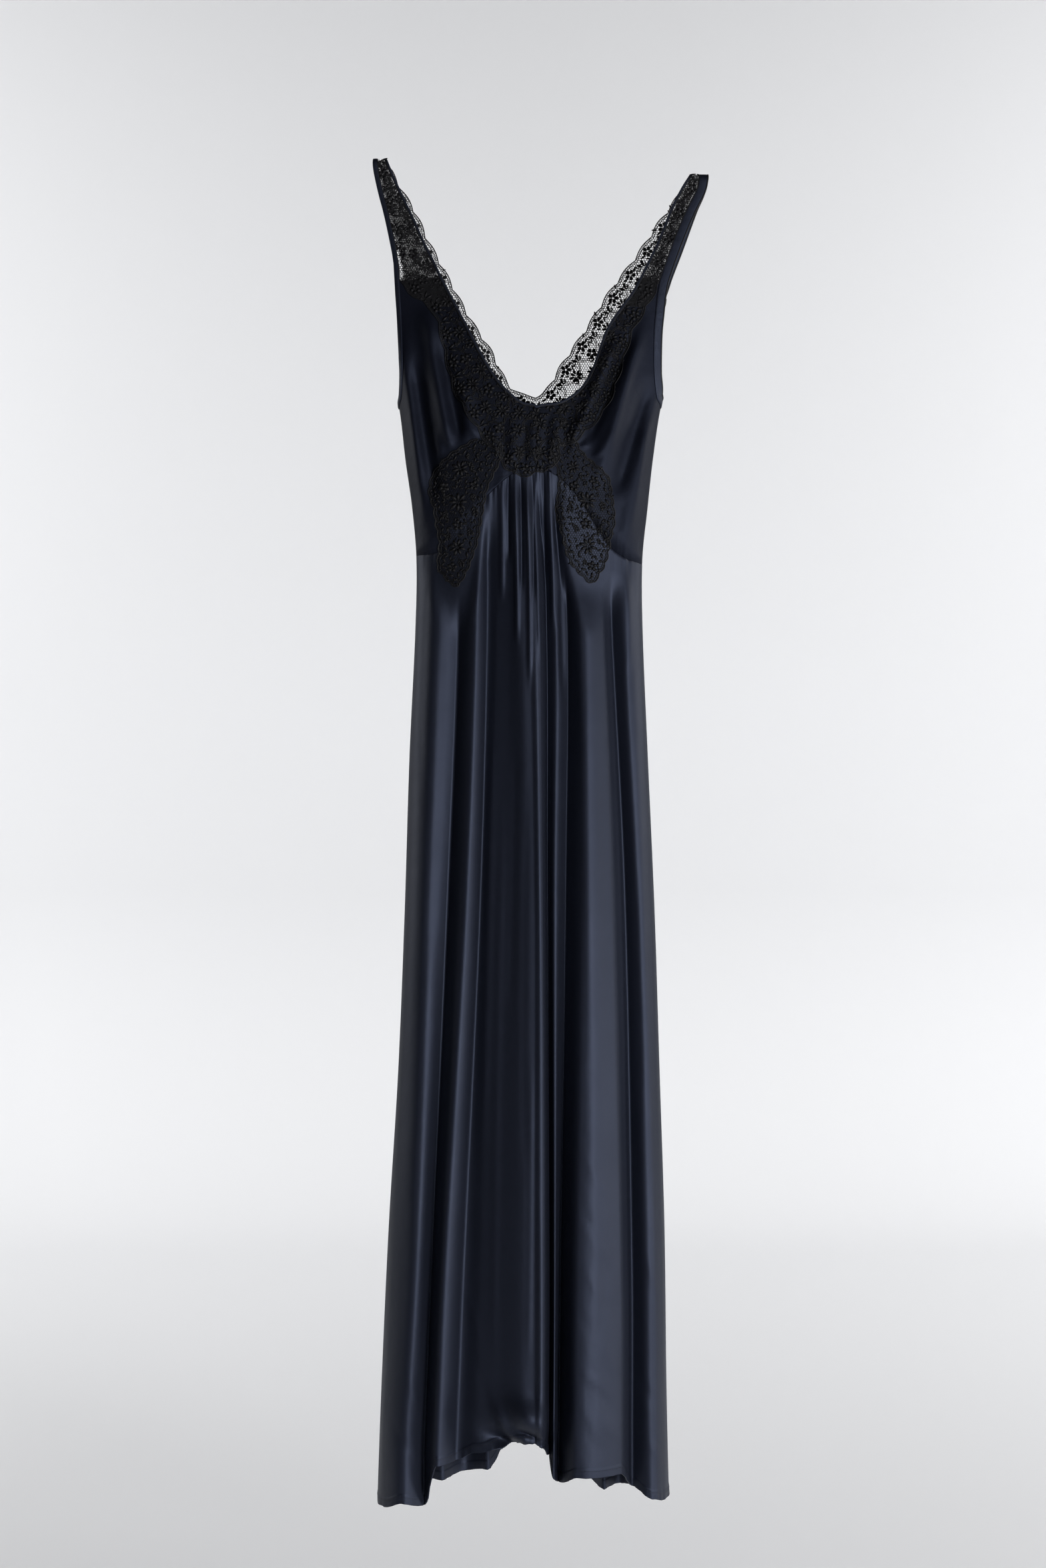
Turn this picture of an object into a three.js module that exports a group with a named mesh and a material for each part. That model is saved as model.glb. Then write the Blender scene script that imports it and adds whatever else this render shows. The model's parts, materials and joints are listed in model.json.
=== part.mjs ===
// A long satin slip dress with lace at the neck and under the bust, hanging from its two straps.
// Millimetres, +Z up, +X to the right as seen from the front, the front towards -Y.
// The origin lies midway between the two strap loops, at the height at which they are held.
import * as THREE from "three";

// Cloth and seams
const clothThickness = 1.2;
const laceThickness = 1.0;
const seamGap = 0.3;
const laceLift = 1.5; // lace's middle above the middle of the cloth under it
const pointLift = 2.5;
const backLaceLift = 2;
const bindingWidths = { neck: 2.4, left: 4.6, right: 8.4 };
const bindingThickness = 2.2;
const bindingLift = 0.8;

// How it hangs
const strapTilt = 0.049; // the right strap hangs this much lower for each millimetre across
const strapRound = 6; // radius of the bend where a strap goes over its support
const sideExponent = 2.3; // how square the body is, seen from above
const underarmHeight = -246;
const centreFront = -3;
const necklineFoot = -253;
const sideCalm = 14; // folds of the bodice die out this near a side seam

// The body's rings: where front and back meet at each side, and how deep each half is.
const rings = [
  { z: 12, left: -212, right: 214, front: 6, back: 6 },
  { z: -30, left: -206, right: 208, front: 10, back: 10 },
  { z: -85, left: -190, right: 186, front: 20, back: 17 },
  { z: -150, left: -168, right: 154, front: 34, back: 27 },
  { z: -200, left: -153, right: 134, front: 43, back: 34 },
  { z: -246, left: -143, right: 123, front: 49, back: 38 },
  { z: -300, left: -136.5, right: 115, front: 52, back: 41 },
  { z: -346, left: -130, right: 110, front: 50, back: 41 },
  { z: -400, left: -125.5, right: 104.5, front: 46, back: 40 },
  { z: -470, left: -126.5, right: 104.7, front: 47, back: 42 },
  { z: -600, left: -132.5, right: 110, front: 50, back: 46 },
  { z: -760, left: -137.5, right: 117, front: 54, back: 50 },
  { z: -920, left: -144, right: 122, front: 58, back: 54 },
  { z: -1080, left: -153.7, right: 127, front: 62, back: 58 },
  { z: -1240, left: -161, right: 129, front: 66, back: 62 },
  { z: -1380, left: -166, right: 132, front: 69, back: 65 },
];

// Folds that run down the bodice from top to foot. A negative rise is a hollow.
const frontDrapes = [
  { xTop: -139, zTop: -150, xFoot: -119, zFoot: -392, width: 11, rise: 6 },
  { xTop: -129, zTop: -190, xFoot: -104, zFoot: -350, width: 8, rise: -8 },
  { xTop: -116, zTop: -140, xFoot: -90, zFoot: -296, width: 10, rise: 7 },
  { xTop: -103, zTop: -175, xFoot: -79, zFoot: -292, width: 7, rise: -6 },
  { xTop: -78, zTop: -225, xFoot: -69, zFoot: -286, width: 7, rise: 5 },
  { xTop: 108, zTop: -150, xFoot: 58, zFoot: -330, width: 9, rise: 6 },
  { xTop: 97, zTop: -165, xFoot: 42, zFoot: -296, width: 7, rise: -7 },
  { xTop: 84, zTop: -170, xFoot: 33, zFoot: -290, width: 8, rise: 6 },
  { xTop: 112, zTop: -215, xFoot: 74, zFoot: -345, width: 8, rise: -7 },
  { xTop: 116, zTop: -250, xFoot: 84, zFoot: -396, width: 9, rise: 6 },
];
// Gathers where each cup is drawn into the lace under it.
const cupGathers = [
  { x: -99, z: -299, lean: -0.25 },
  { x: -90, z: -293, lean: -0.2 },
  { x: -76, z: -287, lean: 0.02 },
  { x: -66, z: -284, lean: 0.12 },
  { x: 34, z: -288, lean: 0.3 },
  { x: 43, z: -295, lean: 0.35 },
  { x: 56, z: -304, lean: 0.45 },
];
const gathers = { length: 30, width: 3.4, rise: 3 };
const backDrapes = [
  { xTop: -118, zTop: -165, xFoot: -104, zFoot: -392, width: 10, rise: 6 },
  { xTop: -98, zTop: -215, xFoot: -84, zFoot: -392, width: 9, rise: -5 },
  { xTop: -62, zTop: -262, xFoot: -58, zFoot: -392, width: 10, rise: 5 },
  { xTop: -10, zTop: -288, xFoot: -12, zFoot: -392, width: 10, rise: -4 },
  { xTop: 44, zTop: -262, xFoot: 36, zFoot: -392, width: 10, rise: 5 },
  { xTop: 82, zTop: -212, xFoot: 64, zFoot: -392, width: 9, rise: -5 },
  { xTop: 103, zTop: -165, xFoot: 84, zFoot: -392, width: 9, rise: 6 },
];

// Ridges and hollows of the skirt, from left to right: where each runs at five heights,
// how far it stands out of the ring at the hem, and the height of the hem there.
const creaseHeights = { gather: -330, waist: -441, thigh: -740, knee: -1121, hem: -1291 };
const frontCreases = [
  { gather: -119, waist: -121, thigh: -131, knee: -148, hem: -158, rise: 8, hemHeight: -1355 },
  { gather: -102, waist: -104, thigh: -114, knee: -126, hem: -138, rise: 12, hemHeight: -1346 },
  { gather: -84, waist: -81, thigh: -92, knee: -109, hem: -116, rise: -15, hemHeight: -1352 },
  { gather: -68, waist: -64, thigh: -74, knee: -96, hem: -103, rise: 8, hemHeight: -1306 },
  { gather: -56, waist: -53, thigh: -60, knee: -77, hem: -84, rise: -11, hemHeight: -1305 },
  { gather: -46, waist: -42, thigh: -51, knee: -58, hem: -63, rise: 5, hemHeight: -1295 },
  { gather: -36, waist: -31, thigh: -33, knee: -40, hem: -40, rise: -4, hemHeight: -1290 },
  { gather: -27, waist: -21, thigh: -15, knee: -19, hem: -20, rise: 11, hemHeight: -1282 },
  { gather: -19, waist: -12, thigh: -6, knee: -6, hem: -6, rise: 7, hemHeight: -1281 },
  { gather: -11, waist: -3.5, thigh: 1.5, knee: 8, hem: 9, rise: 13, hemHeight: -1288 },
  { gather: -3, waist: 6, thigh: 7.5, knee: 16, hem: 17, rise: -20, hemHeight: -1318 },
  { gather: 5, waist: 17, thigh: 15.5, knee: 24, hem: 25, rise: -9, hemHeight: -1322 },
  { gather: 13, waist: 28, thigh: 27, knee: 30, hem: 31, rise: -13, hemHeight: -1317 },
  { gather: 34, waist: 47, thigh: 52, knee: 49, hem: 50, rise: 15, hemHeight: -1316 },
  { gather: 52, waist: 60, thigh: 70, knee: 79, hem: 80, rise: 13, hemHeight: -1318 },
  { gather: 70, waist: 71.5, thigh: 86, knee: 93, hem: 93, rise: -15, hemHeight: -1334 },
  { gather: 88, waist: 88, thigh: 101, knee: 113, hem: 114, rise: 11, hemHeight: -1344 },
  { gather: 100, waist: 99.5, thigh: 111.5, knee: 123, hem: 125, rise: 7, hemHeight: -1349 },
];
const backCreases = [
  { gather: -118, waist: -119, thigh: -129, knee: -147, hem: -156, rise: 6, hemHeight: -1356 },
  { gather: -100, waist: -101, thigh: -110, knee: -121, hem: -128, rise: 11, hemHeight: -1353 },
  { gather: -86, waist: -85, thigh: -92, knee: -98, hem: -101, rise: -14, hemHeight: -1352 },
  { gather: -68, waist: -66, thigh: -72, knee: -76, hem: -78, rise: 12, hemHeight: -1350 },
  { gather: -52, waist: -50, thigh: -53, knee: -54, hem: -54, rise: -10, hemHeight: -1344 },
  { gather: -36, waist: -34, thigh: -33, knee: -32, hem: -32, rise: 8, hemHeight: -1318 },
  { gather: -20, waist: -18, thigh: -16, knee: -15, hem: -14, rise: -13, hemHeight: -1312 },
  { gather: -4, waist: -3, thigh: 1, knee: 4, hem: 6, rise: 13, hemHeight: -1312 },
  { gather: 14, waist: 14, thigh: 18, knee: 22, hem: 25, rise: -9, hemHeight: -1326 },
  { gather: 30, waist: 31, thigh: 36, knee: 43, hem: 47, rise: 7, hemHeight: -1352 },
  { gather: 48, waist: 49, thigh: 56, knee: 64, hem: 67, rise: -15, hemHeight: -1361 },
  { gather: 66, waist: 66, thigh: 74, knee: 82, hem: 85, rise: 14, hemHeight: -1361 },
  { gather: 82, waist: 82, thigh: 92, knee: 102, hem: 105, rise: -11, hemHeight: -1356 },
  { gather: 97, waist: 96, thigh: 108, knee: 119, hem: 121, rise: 8, hemHeight: -1353 },
];
// How much of a fold's depth there is at each height, and how quickly it grows out of its seam.
const foldGrowth = [
  { z: -300, share: 0.42 },
  { z: -441, share: 0.5 },
  { z: -740, share: 0.68 },
  { z: -1121, share: 0.9 },
  { z: -1380, share: 1 },
];
const foldStart = 55;
// Where the skirt's folds begin: at its seam, or under the foot of a lace point.
const frontFoldsFrom = [
  { x: -126, z: -397 },
  { x: -110, z: -398 },
  { x: -99, z: -416 },
  { x: -86, z: -431 },
  { x: -72, z: -422 },
  { x: -61, z: -385 },
  { x: -50, z: -342 },
  { x: -26, z: -318 },
  { x: -8, z: -313 },
  { x: 8, z: -316 },
  { x: 15, z: -330 },
  { x: 22, z: -380 },
  { x: 34, z: -412 },
  { x: 50, z: -428 },
  { x: 64, z: -420 },
  { x: 74, z: -408 },
  { x: 86, z: -402 },
  { x: 105, z: -406 },
];
const sideHem = { left: -1358, right: -1351 };

// The seam between bodice and skirt, from left to right. It rises under the lace to the centre.
const frontWaist = [
  { x: -126, z: -397 },
  { x: -106, z: -396 },
  { x: -90, z: -388 },
  { x: -76, z: -371 },
  { x: -60, z: -349 },
  { x: -44, z: -332 },
  { x: -26, z: -318 },
  { x: -8, z: -313 },
  { x: 8, z: -316 },
  { x: 26, z: -328 },
  { x: 42, z: -347 },
  { x: 56, z: -370 },
  { x: 70, z: -390 },
  { x: 86, z: -401 },
  { x: 105, z: -406 },
];
const backWaist = [
  { x: -126, z: -397 },
  { x: -10, z: -401 },
  { x: 105, z: -406 },
];

// Satin of each front cup, row by row from the top: the armhole or side edge, the place where
// the neck lace ends, and the neck or centre edge. The last row is the seam at the waist.
const cupLeft = [
  { xOut: -142.6, zOut: -119, xLace: -142, zLace: -119, xIn: -101.5, zIn: -117 },
  { xOut: -141.8, zOut: -133, xLace: -128, zLace: -133, xIn: -93.5, zIn: -133 },
  { xOut: -140.6, zOut: -150, xLace: -108, zLace: -150, xIn: -84.5, zIn: -150 },
  { xOut: -139.6, zOut: -169, xLace: -100, zLace: -170, xIn: -74.5, zIn: -170 },
  { xOut: -138.8, zOut: -190, xLace: -95, zLace: -191, xIn: -63.5, zIn: -192 },
  { xOut: -138.6, zOut: -210, xLace: -90, zLace: -212, xIn: -52.5, zIn: -212 },
  { xOut: -139.4, zOut: -227, xLace: -85, zLace: -230, xIn: -41.5, zIn: -228 },
  { xOut: -140.6, zOut: -238, xLace: -79, zLace: -244, xIn: -30, zIn: -240 },
  { xOut: -143, zOut: -246, xLace: -73, zLace: -254, xIn: -18, zIn: -249 },
  { xOut: -141, zOut: -260, xLace: -66, zLace: -267, xIn: -3, zIn: -253 },
  { xOut: -138.2, zOut: -285, xLace: -56, zLace: -281, xIn: -3, zIn: -270 },
  { xOut: -135.9, zOut: -308, xLace: -46, zLace: -293, xIn: -3, zIn: -287 },
  { xOut: -132.2, zOut: -332, xLace: -36, zLace: -304, xIn: -3, zIn: -299 },
  { xOut: -129.6, zOut: -364, xLace: -32, zLace: -314, xIn: -3, zIn: -306 },
  { xOut: -125.6, zOut: -396.8, xLace: -27, zLace: -318, xIn: -3, zIn: -313 },
];
const cupRight = [
  { xOut: 121.5, zOut: -119, xLace: 120.9, zLace: -119, xIn: 103.5, zIn: -117 },
  { xOut: 119, zOut: -133, xLace: 113, zLace: -134, xIn: 95, zIn: -133 },
  { xOut: 117.2, zOut: -150, xLace: 104, zLace: -151, xIn: 83, zIn: -150 },
  { xOut: 115.6, zOut: -169, xLace: 93, zLace: -170, xIn: 70, zIn: -170 },
  { xOut: 115, zOut: -190, xLace: 86, zLace: -192, xIn: 61.5, zIn: -192 },
  { xOut: 115.3, zOut: -210, xLace: 80, zLace: -213, xIn: 55, zIn: -212 },
  { xOut: 116.8, zOut: -227, xLace: 74, zLace: -232, xIn: 46.5, zIn: -228 },
  { xOut: 118.8, zOut: -238, xLace: 68, zLace: -246, xIn: 35, zIn: -240 },
  { xOut: 122.9, zOut: -246, xLace: 61, zLace: -257, xIn: 19, zIn: -249 },
  { xOut: 121, zOut: -260, xLace: 53, zLace: -266, xIn: -3, zIn: -253 },
  { xOut: 117.4, zOut: -285, xLace: 42, zLace: -277, xIn: -3, zIn: -270 },
  { xOut: 114.6, zOut: -308, xLace: 31, zLace: -286, xIn: -3, zIn: -283 },
  { xOut: 111.5, zOut: -334, xLace: 18, zLace: -291, xIn: -3, zIn: -295 },
  { xOut: 109.7, zOut: -370, xLace: 20, zLace: -308, xIn: -3, zIn: -304 },
  { xOut: 104.4, zOut: -405.8, xLace: 20, zLace: -324, xIn: -3, zIn: -313 },
];
const necklineFootRow = 9;
const underarmRow = 8;
const laceEndRow = 12;

// The front halves of the straps, from the loop down to the cup.
const strapLeft = [
  { xOut: -165.5, zOut: 8.11, xIn: -158, zIn: 7.74 },
  { xOut: -165.5, zOut: 2, xIn: -155.5, zIn: 1.5 },
  { xOut: -164, zOut: -8, xIn: -151.5, zIn: -8 },
  { xOut: -160, zOut: -26, xIn: -144, zIn: -25 },
  { xOut: -155.5, zOut: -43, xIn: -136, zIn: -42 },
  { xOut: -151, zOut: -62, xIn: -127, zIn: -61.5 },
  { xOut: -146.5, zOut: -83, xIn: -117.5, zIn: -83.5 },
  { xOut: -143.7, zOut: -101, xIn: -109, zIn: -100 },
];
const strapRight = [
  { xOut: 163, zOut: -7.99, xIn: 156, zIn: -7.64 },
  { xOut: 162.5, zOut: -13, xIn: 152.5, zIn: -13 },
  { xOut: 160, zOut: -24, xIn: 146, zIn: -23.5 },
  { xOut: 151, zOut: -42, xIn: 137, zIn: -41 },
  { xOut: 143, zOut: -60, xIn: 129.5, zIn: -59.5 },
  { xOut: 135.5, zOut: -79, xIn: 122, zIn: -78.5 },
  { xOut: 127.8, zOut: -100, xIn: 112.5, zIn: -99 },
];
// The two lace points under the bust: height, edge towards the side, edge towards the centre.
const pointLeft = [
  { z: -291, out: -74, inn: -53 },
  { z: -298, out: -88, inn: -53 },
  { z: -309, out: -100, inn: -53 },
  { z: -321, out: -109, inn: -52 },
  { z: -335, out: -111, inn: -54 },
  { z: -350, out: -106, inn: -57 },
  { z: -367, out: -103.5, inn: -60 },
  { z: -386, out: -100, inn: -63.5 },
  { z: -400, out: -101, inn: -68 },
  { z: -411, out: -101.5, inn: -72 },
  { z: -421, out: -94, inn: -77 },
  { z: -429, out: -87, inn: -82 },
];
const pointRight = [
  { z: -294, out: 36, inn: 23 },
  { z: -302, out: 44, inn: 22 },
  { z: -311, out: 57, inn: 21 },
  { z: -322, out: 68, inn: 21 },
  { z: -338, out: 71, inn: 19 },
  { z: -353, out: 73.5, inn: 17 },
  { z: -367, out: 74, inn: 20 },
  { z: -382, out: 70, inn: 24 },
  { z: -396, out: 68, inn: 27 },
  { z: -409, out: 64, inn: 33 },
  { z: -419, out: 58, inn: 42 },
  { z: -426, out: 54.5, inn: 50 },
];
// Lace of the back neck, from the left strap loop round to the right one.
const laceBack = [
  { xIn: -158, zIn: 7.74, xOut: -165.5, zOut: 8.11 },
  { xIn: -150.5, zIn: -8, xOut: -164, zOut: -8 },
  { xIn: -140, zIn: -26, xOut: -160, zOut: -26 },
  { xIn: -129, zIn: -44, xOut: -155.2, zOut: -44 },
  { xIn: -117, zIn: -70, xOut: -149.2, zOut: -72 },
  { xIn: -104, zIn: -94, xOut: -144, zOut: -100 },
  { xIn: -92, zIn: -116, xOut: -142.4, zOut: -124 },
  { xIn: -80, zIn: -138, xOut: -124, zOut: -160 },
  { xIn: -68, zIn: -158, xOut: -112, zOut: -184 },
  { xIn: -53, zIn: -180, xOut: -98, zOut: -208 },
  { xIn: -43, zIn: -200, xOut: -86, zOut: -232 },
  { xIn: -33, zIn: -217, xOut: -68, zOut: -256 },
  { xIn: -21, zIn: -226, xOut: -42, zOut: -275 },
  { xIn: -7, zIn: -229, xOut: -9, zOut: -283 },
  { xIn: 5, zIn: -226, xOut: 24, zOut: -275 },
  { xIn: 15, zIn: -212, xOut: 50, zOut: -254 },
  { xIn: 26, zIn: -194, xOut: 70, zOut: -229 },
  { xIn: 38, zIn: -177, xOut: 83, zOut: -204 },
  { xIn: 52, zIn: -157, xOut: 94, zOut: -180 },
  { xIn: 65, zIn: -136, xOut: 105, zOut: -156 },
  { xIn: 79, zIn: -116, xOut: 120.2, zOut: -128 },
  { xIn: 94, zIn: -97, xOut: 128, zOut: -106 },
  { xIn: 110, zIn: -75, xOut: 138, zOut: -80 },
  { xIn: 124, zIn: -54, xOut: 147.5, zOut: -54 },
  { xIn: 136, zIn: -38, xOut: 153.5, zOut: -38 },
  { xIn: 147, zIn: -22, xOut: 160.5, zOut: -22 },
  { xIn: 156, zIn: -7.64, xOut: 163, zOut: -7.99 },
];
// Satin of the back, column by column from the left: its edge at the armhole or under the lace,
// and the foot of the column on the waist seam.
const backEdge = [
  { x: -143, z: -246, foot: -125.4 },
  { x: -139.5, z: -224, foot: -121 },
  { x: -138.8, z: -198, foot: -117 },
  { x: -140, z: -168, foot: -112 },
  { x: -141.5, z: -142, foot: -106 },
  { x: -142.4, z: -128, foot: -101 },
  { x: -132, z: -144, foot: -96 },
  { x: -119, z: -170, foot: -89 },
  { x: -104, z: -200, foot: -79 },
  { x: -88, z: -228, foot: -67 },
  { x: -69, z: -251, foot: -53 },
  { x: -42, z: -266, foot: -34 },
  { x: -8, z: -272, foot: -10 },
  { x: 26, z: -265, foot: 13 },
  { x: 50, z: -248, foot: 30 },
  { x: 67, z: -224, foot: 43 },
  { x: 80, z: -197, foot: 54 },
  { x: 92, z: -168, foot: 64 },
  { x: 104, z: -147, foot: 72 },
  { x: 120.6, z: -130, foot: 79 },
  { x: 118.2, z: -145, foot: 84 },
  { x: 115.8, z: -170, foot: 89.5 },
  { x: 115.4, z: -198, foot: 95.5 },
  { x: 117.6, z: -224, foot: 100 },
  { x: 122.7, z: -246, foot: 104.3 },
];
const backCornerColumn = 5; // where the satin's armhole edge meets the lace
const backCornerRow = 6;
const scallop = { length: 29, depth: 3 };

// How finely each piece is divided
const stepsPerCrease = 3;
const skirtRows = [0, 0.025, 0.05, 0.08, 0.12, 0.2, 0.34, 0.54, 0.77, 1];
const laceColumns = 4;
const satinColumns = 14;
const pointColumns = 7;
const backRows = 7;

const satin = new THREE.MeshStandardMaterial({ color: 0x0d0e14, roughness: 0.42, metalness: 0 });
const lace = new THREE.MeshStandardMaterial({ color: 0x0a0a0c, roughness: 0.85, metalness: 0 });
const tape = new THREE.MeshStandardMaterial({ color: 0x0c0c12, roughness: 0.5, metalness: 0 });

const smooth = (t) => {
  const held = Math.min(1, Math.max(0, t));
  return held * held * (3 - 2 * held);
};
const mix = (a, b, t) => a + (b - a) * t;

// The value of a table's column at a key, on a smooth curve through the rows.
function tableValue(rows, key, at, column) {
  const side = rows[0][key] > rows[rows.length - 1][key] ? -1 : 1;
  let i = 0;
  while (i < rows.length - 2 && side * at > side * rows[i + 1][key]) i += 1;
  const before = rows[Math.max(i - 1, 0)];
  const a = rows[i];
  const b = rows[i + 1];
  const after = rows[Math.min(i + 2, rows.length - 1)];
  const span = b[key] - a[key];
  const t = Math.min(1, Math.max(0, (at - a[key]) / span));
  const slopeA = (b[column] - before[column]) / (b[key] - before[key]);
  const slopeB = (after[column] - a[column]) / (after[key] - a[key]);
  const bend = 3 * t ** 2 - 2 * t ** 3;
  const curve = (t ** 3 - 2 * t ** 2 + t) * slopeA + (t ** 3 - t ** 2) * slopeB;
  return mix(a[column], b[column], bend) + curve * span;
}

// More rows between a table's rows, on smooth curves.
function finer(rows, parts) {
  const numbered = rows.map((row, k) => ({ k, ...row }));
  const names = Object.keys(rows[0]);
  return Array.from({ length: (rows.length - 1) * parts + 1 }, (_, i) =>
    Object.fromEntries(names.map((name) => [name, tableValue(numbered, "k", i / parts, name)])),
  );
}

const sides = (z) => ({
  left: tableValue(rings, "z", z, "left"),
  right: tableValue(rings, "z", z, "right"),
});
const seamHeight = (half, x) => tableValue(half.waist, "x", x, "z");

// How deep the plain body is at a place, before folds.
function plainDepth(half, x, z) {
  const { left, right } = sides(z);
  const share = Math.min(1, Math.abs(x - (left + right) / 2) / ((right - left) / 2));
  const across = (1 - share ** sideExponent) ** (1 / sideExponent);
  const bend = Math.min(1, Math.max(0, (-strapTilt * x - z) / strapRound));
  return tableValue(rings, "z", z, half.name) * across * Math.sqrt(1 - (1 - bend) ** 2);
}

// The height of one long fold of the bodice at a place.
function drapeRise(drape, x, z) {
  const down = (drape.zTop - z) / (drape.zTop - drape.zFoot);
  if (down <= 0 || down >= 1) return 0;
  const off = (x - mix(drape.xTop, drape.xFoot, down)) / drape.width;
  return drape.rise * smooth(down * 4) * smooth((1 - down) * 6) * Math.exp(-off * off);
}

// The height of one short gather above its foot.
function gatherRise(gather, x, z) {
  const up = (z - gather.z) / gathers.length;
  if (up <= 0 || up >= 1) return 0;
  const off = (x - gather.x - gather.lean * (z - gather.z)) / (gathers.width * (1 + up));
  return gathers.rise * smooth(up * 6) * (1 - up) * Math.exp(-off * off);
}

// Where the skirt's ridges and hollows pass at a height, with the two sides.
function creasesAt(half, z) {
  const { left, right } = sides(z);
  const between = half.creases.map((crease) => {
    const track = Object.entries(creaseHeights).map(([name, height]) => ({ height, x: crease[name] }));
    return { x: tableValue(track, "height", z, "x"), rise: crease.rise, hem: crease.hemHeight };
  });
  return [{ x: left, rise: 0, hem: sideHem.left }, ...between, { x: right, rise: 0, hem: sideHem.right }];
}

// How far the cloth lies from the plane between front and back.
function depthAt(half, x, z) {
  const plain = plainDepth(half, x, z);
  const seam = seamHeight(half, x);
  if (z > seam) {
    const { left, right } = sides(z);
    const calm = smooth(Math.min(x - left, right - x) / sideCalm);
    const folds = half.drapes.reduce((sum, drape) => sum + drapeRise(drape, x, z), 0);
    return plain + folds * calm + half.gathers.reduce((sum, gather) => sum + gatherRise(gather, x, z), 0);
  }
  const rise = tableValue(creasesAt(half, z), "x", x, "rise");
  const start = tableValue(half.foldsFrom, "x", x, "z");
  return plain + rise * tableValue(foldGrowth, "z", z, "share") * smooth((start - z) / foldStart);
}

const onCloth = (half, x, z) =>
  new THREE.Vector3(x, half.side * (seamGap / 2 + depthAt(half, x, z)), z);

// The outward direction of the cloth at a place.
function outward(half, x, z) {
  const { left, right } = sides(z);
  const below = -strapTilt * x - z;
  if (below < 0.1) return new THREE.Vector3(0, 0, 1);
  const toSide = Math.min(x - left, right - x);
  if (toSide < 0.1) {
    const name = x - left < right - x ? "left" : "right";
    const lean = (tableValue(rings, "z", z + 1, name) - tableValue(rings, "z", z - 1, name)) / 2;
    return new THREE.Vector3(1, 0, -lean).normalize().multiplyScalar(name === "left" ? -1 : 1);
  }
  const stepX = Math.min(0.8, toSide / 2);
  const stepZ = Math.min(0.8, below / 2);
  const slopeX = (depthAt(half, x + stepX, z) - depthAt(half, x - stepX, z)) / (2 * stepX);
  const slopeZ = (depthAt(half, x, z + stepZ) - depthAt(half, x, z - stepZ)) / (2 * stepZ);
  return new THREE.Vector3(-slopeX, half.side, -slopeZ).normalize();
}

// A place on the cloth, moved out from it, with its outward direction.
function spot(half, x, z, lift = 0) {
  const out = outward(half, x, z);
  return { half, x, z, out, point: onCloth(half, x, z).addScaledVector(out, lift) };
}

// A closed wall of even thickness round a grid of spots.
function wall(grid, thickness) {
  const rows = grid.length;
  const columns = grid[0].length;
  const layer = (side) =>
    grid.flat().map(({ point, out }) => point.clone().addScaledVector(out, (side * thickness) / 2));
  const points = [...layer(1), ...layer(-1)];
  const index = [];
  const quad = (a, b, c, d) => index.push(a, b, c, a, c, d);
  const outer = (j, i) => j * columns + i;
  const inner = (j, i) => (rows + j) * columns + i;
  for (let j = 0; j < rows - 1; j += 1) {
    for (let i = 0; i < columns - 1; i += 1) {
      quad(outer(j, i), outer(j, i + 1), outer(j + 1, i + 1), outer(j + 1, i));
      quad(inner(j, i), inner(j + 1, i), inner(j + 1, i + 1), inner(j, i + 1));
    }
  }
  const foot = rows - 1;
  for (let i = 0; i < columns - 1; i += 1) {
    quad(outer(0, i), inner(0, i), inner(0, i + 1), outer(0, i + 1));
    quad(outer(foot, i), outer(foot, i + 1), inner(foot, i + 1), inner(foot, i));
  }
  const end = columns - 1;
  for (let j = 0; j < rows - 1; j += 1) {
    quad(outer(j, 0), outer(j + 1, 0), inner(j + 1, 0), inner(j, 0));
    quad(outer(j, end), inner(j, end), inner(j + 1, end), outer(j + 1, end));
  }
  const across = grid[0][1].point.clone().sub(grid[0][0].point);
  const down = grid[1][0].point.clone().sub(grid[0][0].point);
  const outside = across.cross(down).dot(grid[0][0].out) > 0;
  if (!outside) {
    for (let k = 0; k < index.length; k += 3) [index[k], index[k + 1]] = [index[k + 1], index[k]];
  }
  return new THREE.BufferGeometry()
    .setAttribute("position", new THREE.Float32BufferAttribute(points.flatMap((p) => p.toArray()), 3))
    .setIndex(index);
}

// A binding beside a path of spots; side says to which side of the path it lies.
function binding(path, side, width) {
  const grid = path.map((place, i) => {
    const next = path[Math.min(i + 1, path.length - 1)].point;
    const last = path[Math.max(i - 1, 0)].point;
    const away = next.clone().sub(last).cross(place.out).normalize().multiplyScalar(side);
    return [seamGap, seamGap + width].map((far) => ({
      out: place.out,
      point: place.point.clone().addScaledVector(away, far).addScaledVector(place.out, bindingLift),
    }));
  });
  return wall(grid, bindingThickness);
}

// Half of the skirt, from the waist seam to the hem.
function skirt(half) {
  const last = half.creases.length;
  const place = (k, t) => {
    if (k === 0) return t ** 2;
    return k === last ? 1 - (1 - t) ** 2 : t;
  };
  return skirtRows.map((down) => {
    const row = [];
    for (let k = 0; k <= last; k += 1) {
      for (let step = k === 0 ? 0 : 1; step <= stepsPerCrease; step += 1) {
        const t = place(k, step / stepsPerCrease);
        const xAt = (z) => {
          const passes = creasesAt(half, z);
          return mix(passes[k].x, passes[k + 1].x, t);
        };
        const top = seamHeight(half, xAt(seamHeight(half, xAt(-380)))) - seamGap / 2;
        const hems = creasesAt(half, top);
        const z = mix(top, mix(hems[k].hem, hems[k + 1].hem, smooth(t)), down);
        row.push(spot(half, xAt(z), z));
      }
    }
    return row;
  });
}

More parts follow.
